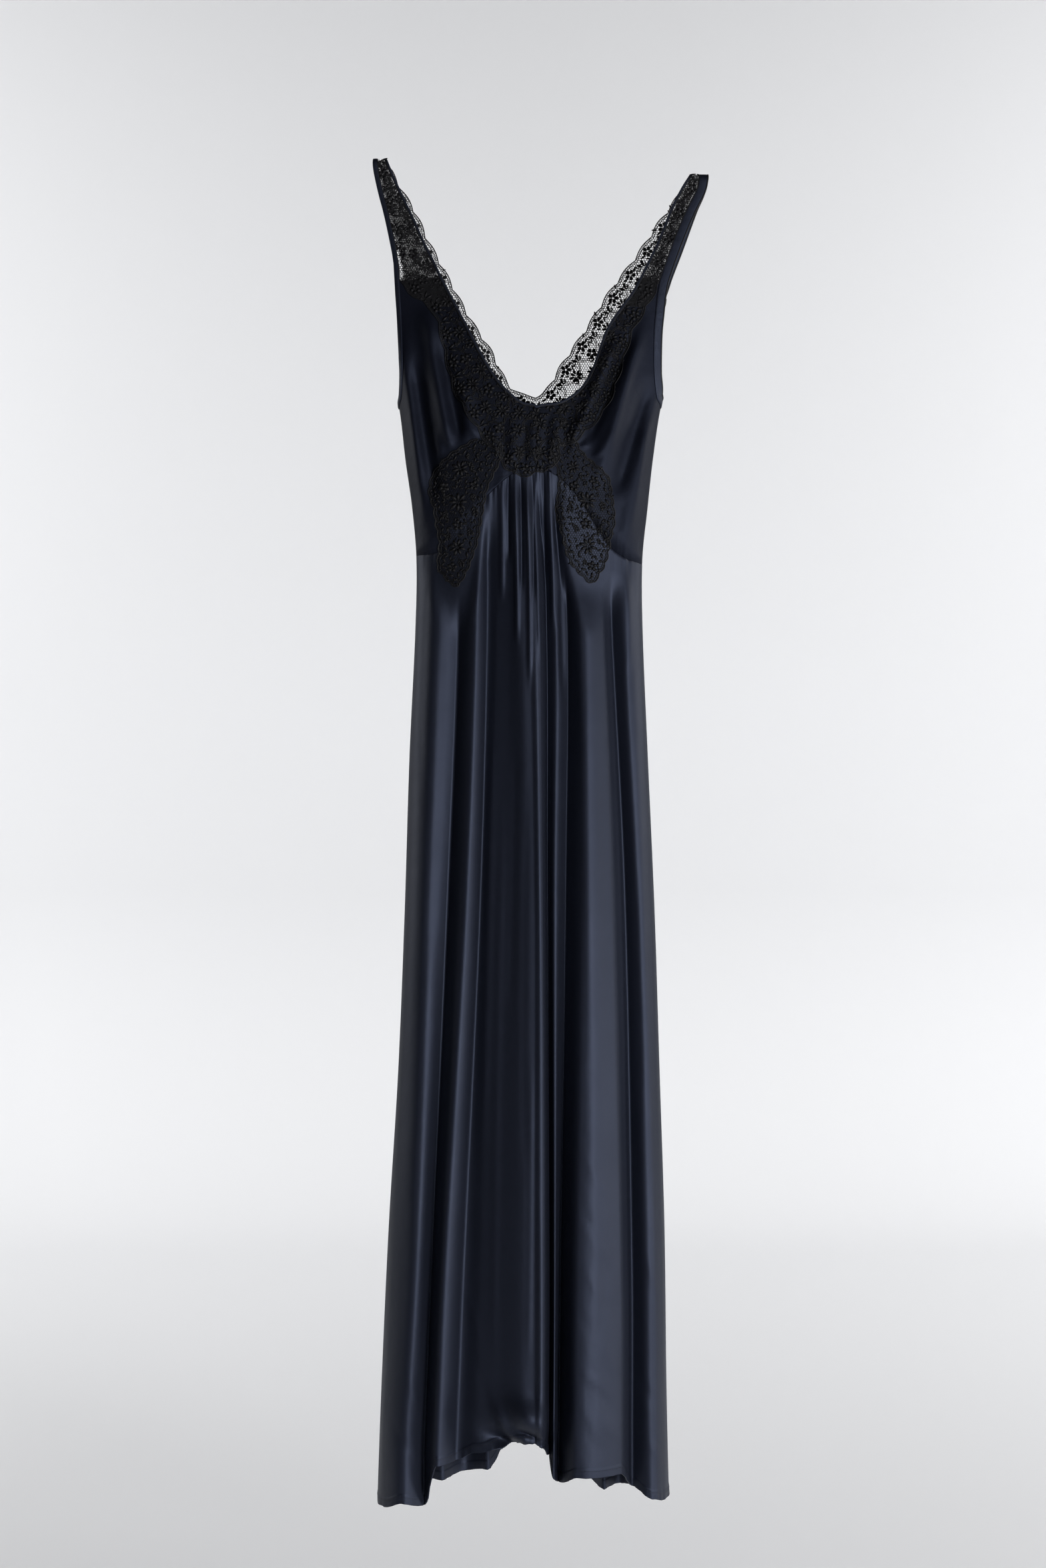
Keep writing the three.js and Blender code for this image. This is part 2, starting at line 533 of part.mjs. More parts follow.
// A front cup: rows from the neck edge past the end of the lace to the armhole or side.
function cup(table, side) {
  const centre = centreFront + (side * seamGap) / 2;
  return finer(table, 2).map((row, j, rows) => {
    const onSeam = j === rows.length - 1;
    const xOut = row.zOut < underarmHeight ? sides(row.zOut)[side < 0 ? "left" : "right"] : row.xOut;
    const xIn = row.zIn <= necklineFoot ? centre : row.xIn;
    const places = [];
    for (let i = 0; i <= laceColumns; i += 1) {
      const t = i / laceColumns;
      places.push({ x: mix(xIn, row.xLace, t), z: mix(row.zIn, row.zLace, t) });
    }
    for (let i = 1; i <= satinColumns; i += 1) {
      const t = 1 - (1 - i / satinColumns) ** 1.3;
      places.push({ x: mix(row.xLace, xOut, t), z: mix(row.zLace, row.zOut, t) });
    }
    return places.map(({ x, z }) => spot(front, x, onSeam ? seamHeight(front, x) + seamGap / 2 : z));
  });
}

// The front neck lace: its own strap, then the cup's own spots moved out.
function neckLace(strapTable, cupGrid) {
  const strap = finer(strapTable, 2).map((row) =>
    Array.from({ length: laceColumns + 1 }, (_, i) => {
      const t = i / laceColumns;
      return spot(front, mix(row.xIn, row.xOut, t), mix(row.zIn, row.zOut, t), laceLift);
    }),
  );
  const onCup = cupGrid
    .slice(0, laceEndRow * 2 + 1)
    .map((row) => row.slice(0, laceColumns + 1).map(({ x, z }) => spot(front, x, z, laceLift)));
  return [...strap, ...onCup];
}

// A lace point under the bust.
function lacePoint(table) {
  return finer(table, 2).map((row) =>
    Array.from({ length: pointColumns + 1 }, (_, i) =>
      spot(front, mix(row.inn, row.out, i / pointColumns), row.z, pointLift),
    ),
  );
}

// The back's neck lace, with scallops along its free edge.
function backLace(table) {
  const rows = finer(table, 3);
  const lengths = [0];
  rows.slice(1).forEach((row, i) => {
    lengths.push(lengths[i] + Math.hypot(row.xIn - rows[i].xIn, row.zIn - rows[i].zIn));
  });
  return rows.map((row, j) => {
    const wide = Math.hypot(row.xOut - row.xIn, row.zOut - row.zIn);
    const ends = smooth(Math.min(lengths[j], lengths[lengths.length - 1] - lengths[j]) / scallop.length);
    const wave = scallop.depth * Math.abs(Math.sin((Math.PI * lengths[j]) / scallop.length)) * ends;
    return Array.from({ length: laceColumns + 1 }, (_, i) => {
      const t = mix(-wave / wide, 1, i / laceColumns);
      return spot(back, mix(row.xIn, row.xOut, t), mix(row.zIn, row.zOut, t), backLaceLift);
    });
  });
}

// The back's satin, from its upper edge to the waist seam.
function backBodice() {
  const edge = finer(backEdge, 2);
  const shareOf = (x, z) => {
    const { left, right } = sides(z);
    return (2 * x - left - right) / (right - left);
  };
  return Array.from({ length: backRows + 1 }, (_, j) =>
    edge.map(({ x, z, foot }, i) => {
      const atEdge = i === 0 || i === edge.length - 1;
      const seam = seamHeight(back, foot) + seamGap / 2;
      const height = mix(z, seam, j / backRows);
      const share = atEdge ? Math.sign(x) : mix(shareOf(x, z), shareOf(foot, seam), j / backRows);
      const { left, right } = sides(height);
      return spot(back, (left + right) / 2 + (share * (right - left)) / 2, height);
    }),
  );
}

const front = {
  name: "front",
  side: -1,
  drapes: frontDrapes,
  gathers: cupGathers,
  waist: frontWaist,
  foldsFrom: frontFoldsFrom,
  creases: frontCreases,
};
const back = {
  name: "back",
  side: 1,
  drapes: backDrapes,
  gathers: [],
  waist: backWaist,
  foldsFrom: backWaist,
  creases: backCreases,
};

const dress = new THREE.Group();

function addPiece(name, geometry, material) {
  const mesh = new THREE.Mesh(geometry, material);
  mesh.name = name;
  dress.add(mesh);
}

const leftCup = cup(cupLeft, -1);
const rightCup = cup(cupRight, 1);
const backGrid = backBodice();
const frontLaceLeft = neckLace(strapLeft, leftCup);
const frontLaceRight = neckLace(strapRight, rightCup);
const laceGridBack = backLace(laceBack);

// The edges along which the bindings run
const unlifted = ({ half, x, z }) => spot(half, x, z);
const strapRows = (strap) => (strap.length - 1) * 2 + 1;
const neckEdge = (strap, laceGrid, cupGrid) =>
  [...laceGrid.slice(0, strapRows(strap)), ...cupGrid.slice(0, necklineFootRow * 2 + 1)].map((row) =>
    unlifted(row[0]),
  );
const neckPath = [
  ...neckEdge(strapLeft, frontLaceLeft, leftCup),
  ...neckEdge(strapRight, frontLaceRight, rightCup).slice(0, -1).reverse(),
];

// Down the front of an armhole, under the arm and up the back to the strap loop.
function armholePath(strap, laceGrid, cupGrid, side) {
  const downFront = [
    ...laceGrid.slice(0, strapRows(strap)).map((row) => row[laceColumns]),
    ...cupGrid.slice(0, underarmRow * 2 + 1).map((row) => row[row.length - 1]),
  ];
  const satinEdge = side < 0 ? backGrid[0] : [...backGrid[0]].reverse();
  const laceEdge = side < 0 ? laceGridBack : [...laceGridBack].reverse();
  const upBack = [
    ...satinEdge.slice(1, backCornerColumn * 2 + 1),
    ...laceEdge.slice(0, backCornerRow * 3).reverse().map((row) => row[laceColumns]),
  ];
  return [...downFront, ...upBack].map(unlifted);
}

addPiece("skirt_front", wall(skirt(front), clothThickness), satin);
addPiece("skirt_back", wall(skirt(back), clothThickness), satin);
addPiece("cup_left", wall(leftCup, clothThickness), satin);
addPiece("cup_right", wall(rightCup, clothThickness), satin);
addPiece("bodice_back", wall(backGrid, clothThickness), satin);
addPiece("lace_front_left", wall(frontLaceLeft, laceThickness), lace);
addPiece("lace_front_right", wall(frontLaceRight, laceThickness), lace);
addPiece("lace_point_left", wall(lacePoint(pointLeft), laceThickness), lace);
addPiece("lace_point_right", wall(lacePoint(pointRight), laceThickness), lace);
addPiece("lace_back", wall(laceGridBack, laceThickness), lace);
addPiece("neck_binding", binding(neckPath, -1, bindingWidths.neck), tape);
const leftArmhole = armholePath(strapLeft, frontLaceLeft, leftCup, -1);
const rightArmhole = armholePath(strapRight, frontLaceRight, rightCup, 1);
addPiece("armhole_binding_left", binding(leftArmhole, 1, bindingWidths.left), tape);
addPiece("armhole_binding_right", binding(rightArmhole, -1, bindingWidths.right), tape);

export default dress;
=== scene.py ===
import json
import math

import bmesh
import bpy
import numpy as np
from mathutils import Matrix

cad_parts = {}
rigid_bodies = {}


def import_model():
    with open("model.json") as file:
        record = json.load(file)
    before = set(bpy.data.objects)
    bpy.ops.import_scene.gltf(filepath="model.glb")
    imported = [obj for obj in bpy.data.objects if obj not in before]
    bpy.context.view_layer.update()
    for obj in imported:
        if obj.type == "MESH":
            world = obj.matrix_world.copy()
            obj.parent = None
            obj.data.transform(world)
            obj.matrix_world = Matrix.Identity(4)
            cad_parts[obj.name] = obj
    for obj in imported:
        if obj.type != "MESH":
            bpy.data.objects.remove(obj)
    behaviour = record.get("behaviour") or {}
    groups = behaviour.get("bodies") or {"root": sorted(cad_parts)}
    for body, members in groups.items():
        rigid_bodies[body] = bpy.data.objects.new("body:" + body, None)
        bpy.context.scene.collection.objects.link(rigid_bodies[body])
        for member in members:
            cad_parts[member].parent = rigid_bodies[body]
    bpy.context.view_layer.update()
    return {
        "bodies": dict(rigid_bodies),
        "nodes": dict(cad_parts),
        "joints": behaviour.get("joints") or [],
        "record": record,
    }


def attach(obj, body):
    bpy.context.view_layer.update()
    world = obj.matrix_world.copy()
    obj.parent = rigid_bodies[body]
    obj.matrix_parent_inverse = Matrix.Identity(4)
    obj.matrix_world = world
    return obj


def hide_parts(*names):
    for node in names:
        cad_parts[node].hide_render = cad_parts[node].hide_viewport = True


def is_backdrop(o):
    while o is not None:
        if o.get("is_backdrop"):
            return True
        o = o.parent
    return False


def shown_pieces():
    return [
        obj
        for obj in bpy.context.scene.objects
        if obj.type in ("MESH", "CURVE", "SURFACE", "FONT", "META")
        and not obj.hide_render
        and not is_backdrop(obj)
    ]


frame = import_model()


def rowsOf(names, *rows):
    return dict(zip(names.split(), np.array(rows, float).T))


# How the dress hangs, in millimetres and shares
hang = {
    "seamGap": 0.03,
    "strapTilt": 0.049,
    "strapRound": 6,
    "sideExponent": 2.3,
    "underarmHeight": -246,
    "centreFront": -3,
    "necklineFoot": -253,
    "sideCalm": 14,
    "foldStart": 55,
    "gatherLength": 30,
    "gatherWidth": 3.4,
    "gatherRise": 3,
    "fineShare": 0.5,
    "valleyPinch": 0.6,
}
rings = rowsOf(
    "z left right front back",
    (12, -212, 214, 6, 6),
    (-30, -206, 208, 10, 10),
    (-85, -190, 186, 20, 17),
    (-150, -168, 154, 34, 27),
    (-200, -153, 134, 43, 34),
    (-246, -143, 123, 49, 38),
    (-300, -136.5, 115, 52, 41),
    (-346, -130, 110, 50, 41),
    (-400, -125.5, 104.5, 46, 40),
    (-470, -126.5, 104.7, 47, 42),
    (-600, -132.5, 110, 50, 46),
    (-760, -137.5, 117, 54, 50),
    (-920, -144, 122, 58, 54),
    (-1080, -153.7, 127, 62, 58),
    (-1240, -161, 129, 66, 62),
    (-1380, -166, 132, 69, 65),
)
# Long folds of the bodice; a negative rise is a hollow
foldColumns = "xTop zTop xFoot zFoot width rise bow"
frontDrapes = rowsOf(
    foldColumns,
    (-139, -150, -119, -392, 11, 6, 0),
    (-129, -190, -104, -350, 8, -8, 0),
    (-116, -140, -90, -296, 10, 7, 0),
    (-103, -175, -79, -292, 7, -6, 0),
    (-78, -225, -69, -286, 7, 5, 0),
    (108, -150, 58, -330, 9, 6, 0),
    (97, -165, 42, -296, 7, -7, 0),
    (84, -170, 33, -290, 8, 6, 0),
    (112, -215, 74, -345, 8, -7, 0),
    (116, -250, 84, -396, 9, 6, 0),
)
backDrapes = rowsOf(
    foldColumns,
    (-118, -165, -104, -392, 10, 6, 0),
    (-98, -215, -84, -392, 9, -5, 0),
    (-62, -262, -58, -392, 10, 5, 0),
    (-10, -288, -12, -392, 10, -4, 0),
    (44, -262, 36, -392, 10, 5, 0),
    (82, -212, 64, -392, 9, -5, 0),
    (103, -165, 84, -392, 9, 6, 0),
)
cupGathers = rowsOf(
    "x z lean",
    (-99, -299, -0.25), (-90, -293, -0.2), (-76, -287, 0.02), (-66, -284, 0.12),
    (34, -288, 0.3), (43, -295, 0.35), (56, -304, 0.45),
)
# Ridges and hollows of the skirt: where each passes at five heights, its rise and the hem there
creaseHeights = np.array([-330, -441, -740, -1121, -1291.0])
creaseColumns = "gather waist thigh knee hem rise hemHeight"
frontCreases = rowsOf(
    creaseColumns,
    (-119, -121, -131, -148, -158, 8, -1355),
    (-102, -104, -114, -126, -138, 12, -1346),
    (-84, -81, -92, -109, -116, -15, -1352),
    (-68, -64, -74, -96, -103, 8, -1306),
    (-56, -53, -60, -77, -84, -16, -1305),
    (-46, -42, -51, -58, -63, -9, -1295),
    (-36, -31, -33, -40, -40, -1, -1290),
    (-27, -21, -15, -19, -20, 10, -1282),
    (-19, -12, -6, -6, -6, 12, -1281),
    (-11, -3.5, 1.5, 3.5, 3, 13, -1286),
    (-3, 6, 7.5, 10, 9, -20, -1299),
    (5, 16, 14.5, 14.5, 13.5, -6, -1320),
    (13, 27, 26, 20, 18.5, -20, -1326),
    (30, 41, 44, 38, 36, 17, -1313),
    (52, 60, 70, 79, 80, 9, -1314),
    (70, 71.5, 86, 93, 93, -15, -1334),
    (88, 88, 101, 113, 114, 11, -1344),
    (100, 99.5, 111.5, 123, 125, 7, -1349),
)
backCreases = rowsOf(
    creaseColumns,
    (-118, -119, -129, -147, -156, 6, -1356),
    (-100, -101, -110, -121, -128, 11, -1353),
    (-86, -85, -92, -98, -101, -14, -1352),
    (-68, -66, -72, -76, -78, 12, -1350),
    (-52, -50, -53, -54, -54, -10, -1344),
    (-36, -34, -33, -32, -32, 8, -1318),
    (-20, -18, -16, -15, -14, -13, -1312),
    (-4, -3, 1, 4, 6, 13, -1312),
    (14, 14, 18, 22, 25, -9, -1326),
    (30, 31, 36, 43, 47, 7, -1352),
    (48, 49, 56, 64, 67, -15, -1361),
    (66, 66, 74, 82, 85, 14, -1361),
    (82, 82, 92, 102, 105, -11, -1356),
    (97, 96, 108, 119, 121, 8, -1353),
)
foldGrowth = rowsOf(
    "z share", (-300, 0.42), (-441, 0.5), (-740, 0.68), (-1121, 0.9), (-1380, 1)
)
frontFoldsFrom = rowsOf(
    "x z",
    (-126, -397), (-110, -398), (-99, -416), (-86, -431), (-72, -422), (-61, -385),
    (-50, -342), (-26, -318), (-8, -313), (8, -316), (15, -330), (22, -380), (34, -412),
    (50, -428), (64, -420), (74, -408), (86, -402), (105, -406),
)
frontWaist = rowsOf(
    "x z",
    (-126, -397), (-106, -396), (-90, -388), (-76, -371), (-60, -349), (-44, -332),
    (-26, -318), (-8, -313), (8, -316), (26, -328), (42, -347), (56, -370), (70, -390),
    (86, -401), (105, -406),
)
backWaist = rowsOf("x z", (-126, -397), (-10, -401), (105, -406))
sideHem = (-1358, -1351)
# Softer and finer folds, laid over the main ones
frontFine = rowsOf(
    foldColumns,
    # drawn in under the yoke
    (-38, -306, -38, -450, 2.8, 4.4, 0),
    (-32, -307, -31, -410, 2.0, -5.0, 0),
    (-26, -308, -23, -500, 2.5, 5.0, 1),
    (-19, -308, -18, -440, 1.9, -5.6, 0),
    (-14, -307, -10, -540, 2.3, 5.0, 1),
    (-8, -304, -6, -450, 1.8, -5.0, 0),
    (-3, -302, 1, -520, 2.3, 5.4, -1),
    (3, -300, 6, -425, 1.9, -4.8, 0),
    (9, -298, 13, -485, 2.5, 4.4, 1),
    (15, -300, 23, -550, 3.2, -4.2, 1),
    # through the yoke
    (-46, -262, -43, -306, 3.4, 2.6, 0),
    (-37, -258, -34, -308, 2.6, -2.8, 0),
    (-27, -260, -27, -312, 3.0, 3.0, 0),
    (-14, -259, -16, -312, 2.4, -2.6, 0),
    (-6, -258, -7, -310, 2.6, 2.6, 0),
    (8, -257, 5, -304, 2.6, -2.8, 0),
    (17, -256, 14, -303, 3.0, 3.0, 0),
    (27, -258, 25, -300, 2.4, -2.4, 0),
    (36, -262, 33, -302, 3.0, 2.4, 0),
    # left of the middle
    (-122, -430, -139, -980, 6, 2.0, 4),
    (-112, -405, -121, -640, 4, -1.6, -2),
    (-96, -440, -112, -830, 5, -1.6, 3),
    (-101, -800, -121, -1290, 5, 1.5, -3),
    (-133, -1010, -146, -1330, 6, -2.0, 2),
    (-72, -470, -88, -900, 4, 1.4, -3),
    (-62, -760, -86, -1230, 4, -1.3, 2),
    (-48, -540, -58, -1010, 4, 1.2, 2),
    (-36, -620, -46, -1240, 4, 1.4, -2),
    (-24, -560, -30, -880, 4, -1.2, 1),
    # the middle pleat
    (-13, -600, -16, -1040, 4, -1.3, -1),
    (-9, -880, -12, -1220, 3, 1.2, 1),
    (-2, -700, 2, -1100, 3, -1.0, 0),
    # right of the middle
    (33, -450, 40, -800, 4, -1.3, 2),
    (46, -480, 52, -940, 5, 1.3, -2),
    (60, -560, 66, -1040, 5, -1.6, 3),
    (52, -900, 58, -1180, 4, 1.1, -2),
    (70, -940, 74, -1230, 4, -1.2, 2),
    (68, -1080, 54, -1196, 3.0, -1.6, 2),
    (74, -1150, 80, -1300, 3.4, 1.6, -2),
    (52, -1200, 46, -1305, 3.4, -1.6, -1),
    (82, -430, 96, -760, 4, 1.4, 2),
    (92, -450, 104, -980, 5, -1.5, -3),
    (98, -900, 106, -1330, 5, 1.6, 2),
    (108, -700, 119, -1180, 4, -1.3, 3),
    (86, -412, 90, -520, 3, 1.6, 1),
    (95, -410, 98, -500, 3, -1.4, 0),
    # bodice: soft dents across the cups and by the lace
    (-132, -250, -108, -330, 6, 1.8, -3),
    (-121, -215, -100, -276, 5, -1.6, 2),
    (-95, -215, -84, -290, 4, 1.8, 2),
    (-89, -240, -76, -288, 3, -1.3, -1),
    (-128, -318, -120, -392, 6, -1.4, 2),
    (-104, -322, -112, -390, 4, 1.2, 1),
    (92, -205, 64, -300, 4, 1.7, 2),
    (104, -190, 78, -292, 4, -1.5, -2),
    (76, -225, 48, -291, 3, -1.4, 1),
    (66, -235, 40, -287, 3, 1.5, -1),
    (100, -280, 86, -380, 5, -1.4, 2),
    (108, -318, 96, -402, 4, 1.3, -1),
)
# Rounded dents and crinkles: middle, reach along and across, slope in degrees, rise
dentColumns = "x z long wide slope rise"
frontDents = rowsOf(
    dentColumns,
    # the pocket at the foot of the middle pleat
    (-10, -1254, 20, 13, -24, 14),
    (-12, -1272, 20, 3.4, -18, -7),
    (-29, -1285, 24, 8, -22, -18),
    (-39, -1258, 14, 5, -62, 6),
    (4, -1284, 12, 5, -20, -8),
    # slanting crinkles of the right-hand fold
    (58, -1022, 22, 3.6, -58, 0.9),
    (50, -1064, 18, 3.2, -64, -0.8),
    (63, -1092, 20, 3.4, -52, 1.0),
    (54, -1128, 17, 3.0, -70, 1.1),
    (67, -1146, 15, 2.8, -48, -0.9),
    (47, -1166, 16, 3.0, -60, -1.0),
    (60, -1184, 18, 3.0, -55, 1.3),
    (72, -1206, 14, 2.6, -66, 1.0),
    (52, -1218, 15, 2.8, -44, 1.2),
    (64, -1238, 16, 2.8, -58, -1.2),
    (48, -1256, 13, 2.8, -70, 1.1),
    (70, -1268, 15, 2.8, -50, 1.2),
    (57, -1284, 13, 2.6, -62, -1.1),
    # soft unevenness of the left folds
    (-126, -1236, 18, 4, -72, 0.9),
    (-139, -1282, 16, 4, -60, -1.0),
    (-121, -1304, 13, 3.4, -50, 0.9),
    (-66, -1160, 18, 4, -74, 0.8),
    (-56, -1230, 15, 3.6, -64, -0.8),
    (112, -1120, 20, 4, -76, 0.9),
    (104, -1232, 18, 3.6, -62, -1.0),
    (118, -1300, 15, 3.6, -56, 1.0),
)
backDents = rowsOf(
    dentColumns,
    (-120, -1190, 20, 4, 72, 0.9),
    (-96, -1262, 17, 4, 60, -1.0),
    (-70, -1296, 15, 3.4, 52, 1.0),
    (-34, -1172, 19, 3.8, 68, 0.8),
    (-8, -1240, 16, 3.6, 58, -1.0),
    (28, -1206, 18, 3.8, 66, 1.0),
    (44, -1290, 15, 3.4, 50, 1.0),
    (72, -1150, 20, 4, 74, -0.9),
    (92, -1276, 16, 3.6, 56, 1.1),
    (112, -1230, 17, 4, 64, -0.9),
)
backFine = rowsOf(
    foldColumns,
    (-112, -405, -124, -760, 5, 1.7, 3),
    (-94, -410, -102, -560, 4, -1.5, 1),
    (-78, -440, -88, -930, 5, 1.5, -2),
    (-60, -402, -62, -540, 3, -1.4, 0),
    (-44, -520, -46, -1010, 4, 1.4, 2),
    (-26, -403, -27, -560, 3, 1.6, 0),
    (-12, -402, -10, -510, 3, -1.5, 0),
    (4, -403, 8, -620, 3, 1.4, 1),
    (22, -404, 27, -550, 3, -1.5, -1),
    (40, -560, 50, -1080, 5, 1.5, 3),
    (58, -405, 64, -700, 4, 1.4, -2),
    (76, -520, 90, -1000, 5, -1.6, 2),
    (92, -410, 100, -640, 4, 1.3, 1),
    (-134, -900, -146, -1330, 6, -1.8, -2),
    (-110, -960, -118, -1300, 5, 1.6, 2),
    (-88, -1040, -92, -1330, 4, -1.4, 1),
    (-60, -1120, -58, -1330, 4, 1.5, -1),
    (-6, -900, 0, -1290, 4, -1.3, 2),
    (32, -1060, 44, -1340, 5, -1.6, -2),
    (74, -1080, 82, -1345, 4, 1.5, 2),
    (104, -980, 116, -1335, 5, -1.5, -2),
    (-50, -290, -48, -390, 4, -1.4, 1),
    (-84, -250, -78, -360, 4, 1.5, 2),
    (20, -292, 18, -388, 4, 1.3, -1),
    (62, -262, 54, -380, 4, -1.4, -2),
    (94, -250, 84, -360, 4, 1.4, 1),
    (-122, -260, -112, -380, 5, -1.5, -2),
)
# Satin of each cup: armhole or side edge, end of the neck lace, neck or centre edge
cupColumns = "xOut zOut xLace zLace xIn zIn"
cupLeft = rowsOf(
    cupColumns,
    (-142.6, -119, -142, -119, -101.5, -117),
    (-141.8, -133, -128, -133, -93.5, -133),
    (-140.6, -150, -108, -150, -84.5, -150),
    (-139.6, -169, -100, -170, -74.5, -170),
    (-138.8, -190, -95, -191, -63.5, -192),
    (-138.6, -210, -90, -212, -52.5, -212),
    (-139.4, -227, -85, -230, -41.5, -228),
    (-140.6, -238, -79, -244, -30, -240),
    (-143, -246, -73, -254, -18, -249),
    (-141, -260, -66, -267, -3, -253),
    (-138.2, -285, -56, -281, -3, -270),
    (-135.9, -308, -46, -293, -3, -287),
    (-132.2, -332, -36, -304, -3, -299),
    (-129.6, -364, -32, -314, -3, -306),
    (-125.6, -396.8, -27, -318, -3, -313),
)
cupRight = rowsOf(
    cupColumns,
    (121.5, -119, 120.9, -119, 103.5, -117),
    (119, -133, 113, -134, 95, -133),
    (117.2, -150, 104, -151, 83, -150),
    (115.6, -169, 93, -170, 70, -170),
    (115, -190, 86, -192, 61.5, -192),
    (115.3, -210, 80, -213, 55, -212),
    (116.8, -227, 74, -232, 46.5, -228),
    (118.8, -238, 68, -246, 35, -240),
    (122.9, -246, 61, -257, 19, -249),
    (121, -260, 53, -266, -3, -253),
    (117.4, -285, 42, -277, -3, -270),
    (114.6, -308, 31, -286, -3, -283),
    (111.5, -334, 18, -291, -3, -295),
    (109.7, -370, 20, -308, -3, -304),
    (104.4, -405.8, 20, -324, -3, -313),
)
necklineFootRow, underarmRow, laceEndRow = 9, 8, 12
# Front halves of the straps, from the loop down to the cup
strapColumns = "xOut zOut xIn zIn"
strapLeft = rowsOf(
    strapColumns,
    (-165.5, 8.11, -158, 7.74),
    (-165.5, 2, -155.5, 1.5),
    (-164, -8, -151.5, -8),
    (-160, -26, -144, -25),
    (-155.5, -43, -136, -42),
    (-151, -62, -127, -61.5),
    (-146.5, -83, -117.5, -83.5),
    (-143.7, -101, -109, -100),
)
strapRight = rowsOf(
    strapColumns,
    (163, -7.99, 156, -7.64),
    (162.5, -13, 152.5, -13),
    (160, -24, 146, -23.5),
    (151, -42, 137, -41),
    (143, -60, 129.5, -59.5),
    (135.5, -79, 122, -78.5),
    (127.8, -100, 112.5, -99),
)
# Lace points: height, edge towards the side, edge towards the centre
pointLeft = rowsOf(
    "z out inn",
    (-283, -63, -46), (-290, -74, -40), (-298, -88, -38), (-309, -100, -42),
    (-321, -109, -48), (-335, -111, -54), (-350, -106, -57), (-367, -103.5, -60),
    (-386, -100, -63.5), (-400, -101, -68), (-411, -101.5, -72), (-421, -94, -77),
    (-429, -87, -82),
)
pointRight = rowsOf(
    "z out inn",
    (-284, 34, 14), (-294, 39, 12), (-302, 46, 14), (-311, 57, 17), (-322, 68, 20),
    (-338, 71, 19), (-353, 73.5, 17), (-367, 74, 20), (-382, 70, 24), (-396, 68, 27),
    (-409, 64, 33), (-419, 58, 42), (-426, 54.5, 50),
)
# Lace of the back neck, from the left strap loop round to the right one
laceBack = rowsOf(
    "xIn zIn xOut zOut",
    (-158, 7.74, -165.5, 8.11),
    (-150.5, -8, -164, -8),
    (-140, -26, -160, -26),
    (-129, -44, -155.2, -44),
    (-117, -70, -149.2, -72),
    (-104, -94, -144, -100),
    (-92, -116, -142.4, -124),
    (-80, -138, -124, -160),
    (-68, -158, -112, -184),
    (-53, -180, -98, -208),
    (-43, -200, -86, -232),
    (-33, -217, -68, -256),
    (-21, -226, -42, -275),
    (-7, -229, -9, -283),
    (5, -226, 24, -275),
    (15, -212, 50, -254),
    (26, -194, 70, -229),
    (38, -177, 83, -204),
    (52, -157, 94, -180),
    (65, -136, 105, -156),
    (79, -116, 120.2, -128),
    (94, -97, 128, -106),
    (110, -75, 138, -80),
    (124, -54, 147.5, -54),
    (136, -38, 153.5, -38),
    (147, -22, 160.5, -22),
    (156, -7.64, 163, -7.99),
)
# Satin of the back, column by column, and the foot of each column on the waist seam
backEdge = rowsOf(
    "x z foot",
    (-143, -246, -125.4), (-139.5, -224, -121), (-138.8, -198, -117),
    (-140, -168, -112), (-141.5, -142, -106), (-142.4, -128, -101), (-132, -144, -96),
    (-119, -170, -89), (-104, -200, -79), (-88, -228, -67), (-69, -251, -53),
    (-42, -266, -34), (-8, -272, -10), (26, -265, 13), (50, -248, 30), (67, -224, 43),
    (80, -197, 54), (92, -168, 64), (104, -147, 72), (120.6, -130, 79),
    (118.2, -145, 84), (115.8, -170, 89.5), (115.4, -198, 95.5), (117.6, -224, 100),
    (122.7, -246, 104.3),
)
backCornerColumn, backCornerRow = 5, 6


# How far along a path each of its points lies
def travelled(path):
    return np.concatenate([[0], np.cumsum(np.linalg.norm(np.diff(path, axis=0), axis=1))])


def smooth(t):
    held = np.clip(t, 0, 1)
    return held * held * (3 - 2 * held)


def mix(a, b, t):
    return a + (b - a) * t


# A cubic from one value to the next, with the slope at each
def cubic(start, end, slopeStart, slopeEnd, span, t):
    bend = (t**3 - 2 * t**2 + t) * slopeStart + (t**3 - t**2) * slopeEnd
    return mix(start, end, 3 * t**2 - 2 * t**3) + bend * span


# A smooth curve through a table's rows, held at both ends
def curveThrough(keys, values, at):
    at = np.asarray(at, float)
    way = 1 if keys[-1] > keys[0] else -1
    i = np.searchsorted(way * keys[1:-1], way * at, side="left")
    before, after = np.maximum(i - 1, 0), np.minimum(i + 2, len(keys) - 1)
    span = keys[i + 1] - keys[i]
    t = np.clip((at - keys[i]) / span, 0, 1)
    slopeA = (values[i + 1] - values[before]) / (keys[i + 1] - keys[before])
    slopeB = (values[after] - values[i]) / (keys[after] - keys[i])
    return cubic(values[i], values[i + 1], slopeA, slopeB, span, t)


def tableValue(rows, key, at, column):
    return curveThrough(rows[key], rows[column], at)


edgeParts = 6  # curve points for each row of an edge's table


# A table with curve points set in between its rows
def finer(rows, parts=edgeParts):
    count = len(next(iter(rows.values())))
    keys = np.arange(count, dtype=float)
    steps = np.linspace(0, count - 1, (count - 1) * parts + 1)
    return {name: curveThrough(keys, values, steps) for name, values in rows.items()}


def sidesAt(z):
    return tableValue(rings, "z", z, "left"), tableValue(rings, "z", z, "right")


# The dress without folds, as a flattened ring at each height
def plainDepth(half, x, z):
    left, right = sidesAt(z)
    share = np.minimum(1, np.abs(x - (left + right) / 2) / ((right - left) / 2))
    across = (1 - share ** hang["sideExponent"]) ** (1 / hang["sideExponent"])
    bend = np.clip((-hang["strapTilt"] * x - z) / hang["strapRound"], 0, 1)
    ring = tableValue(rings, "z", z, half["name"])
    return ring * across * np.sqrt(1 - (1 - bend) ** 2)


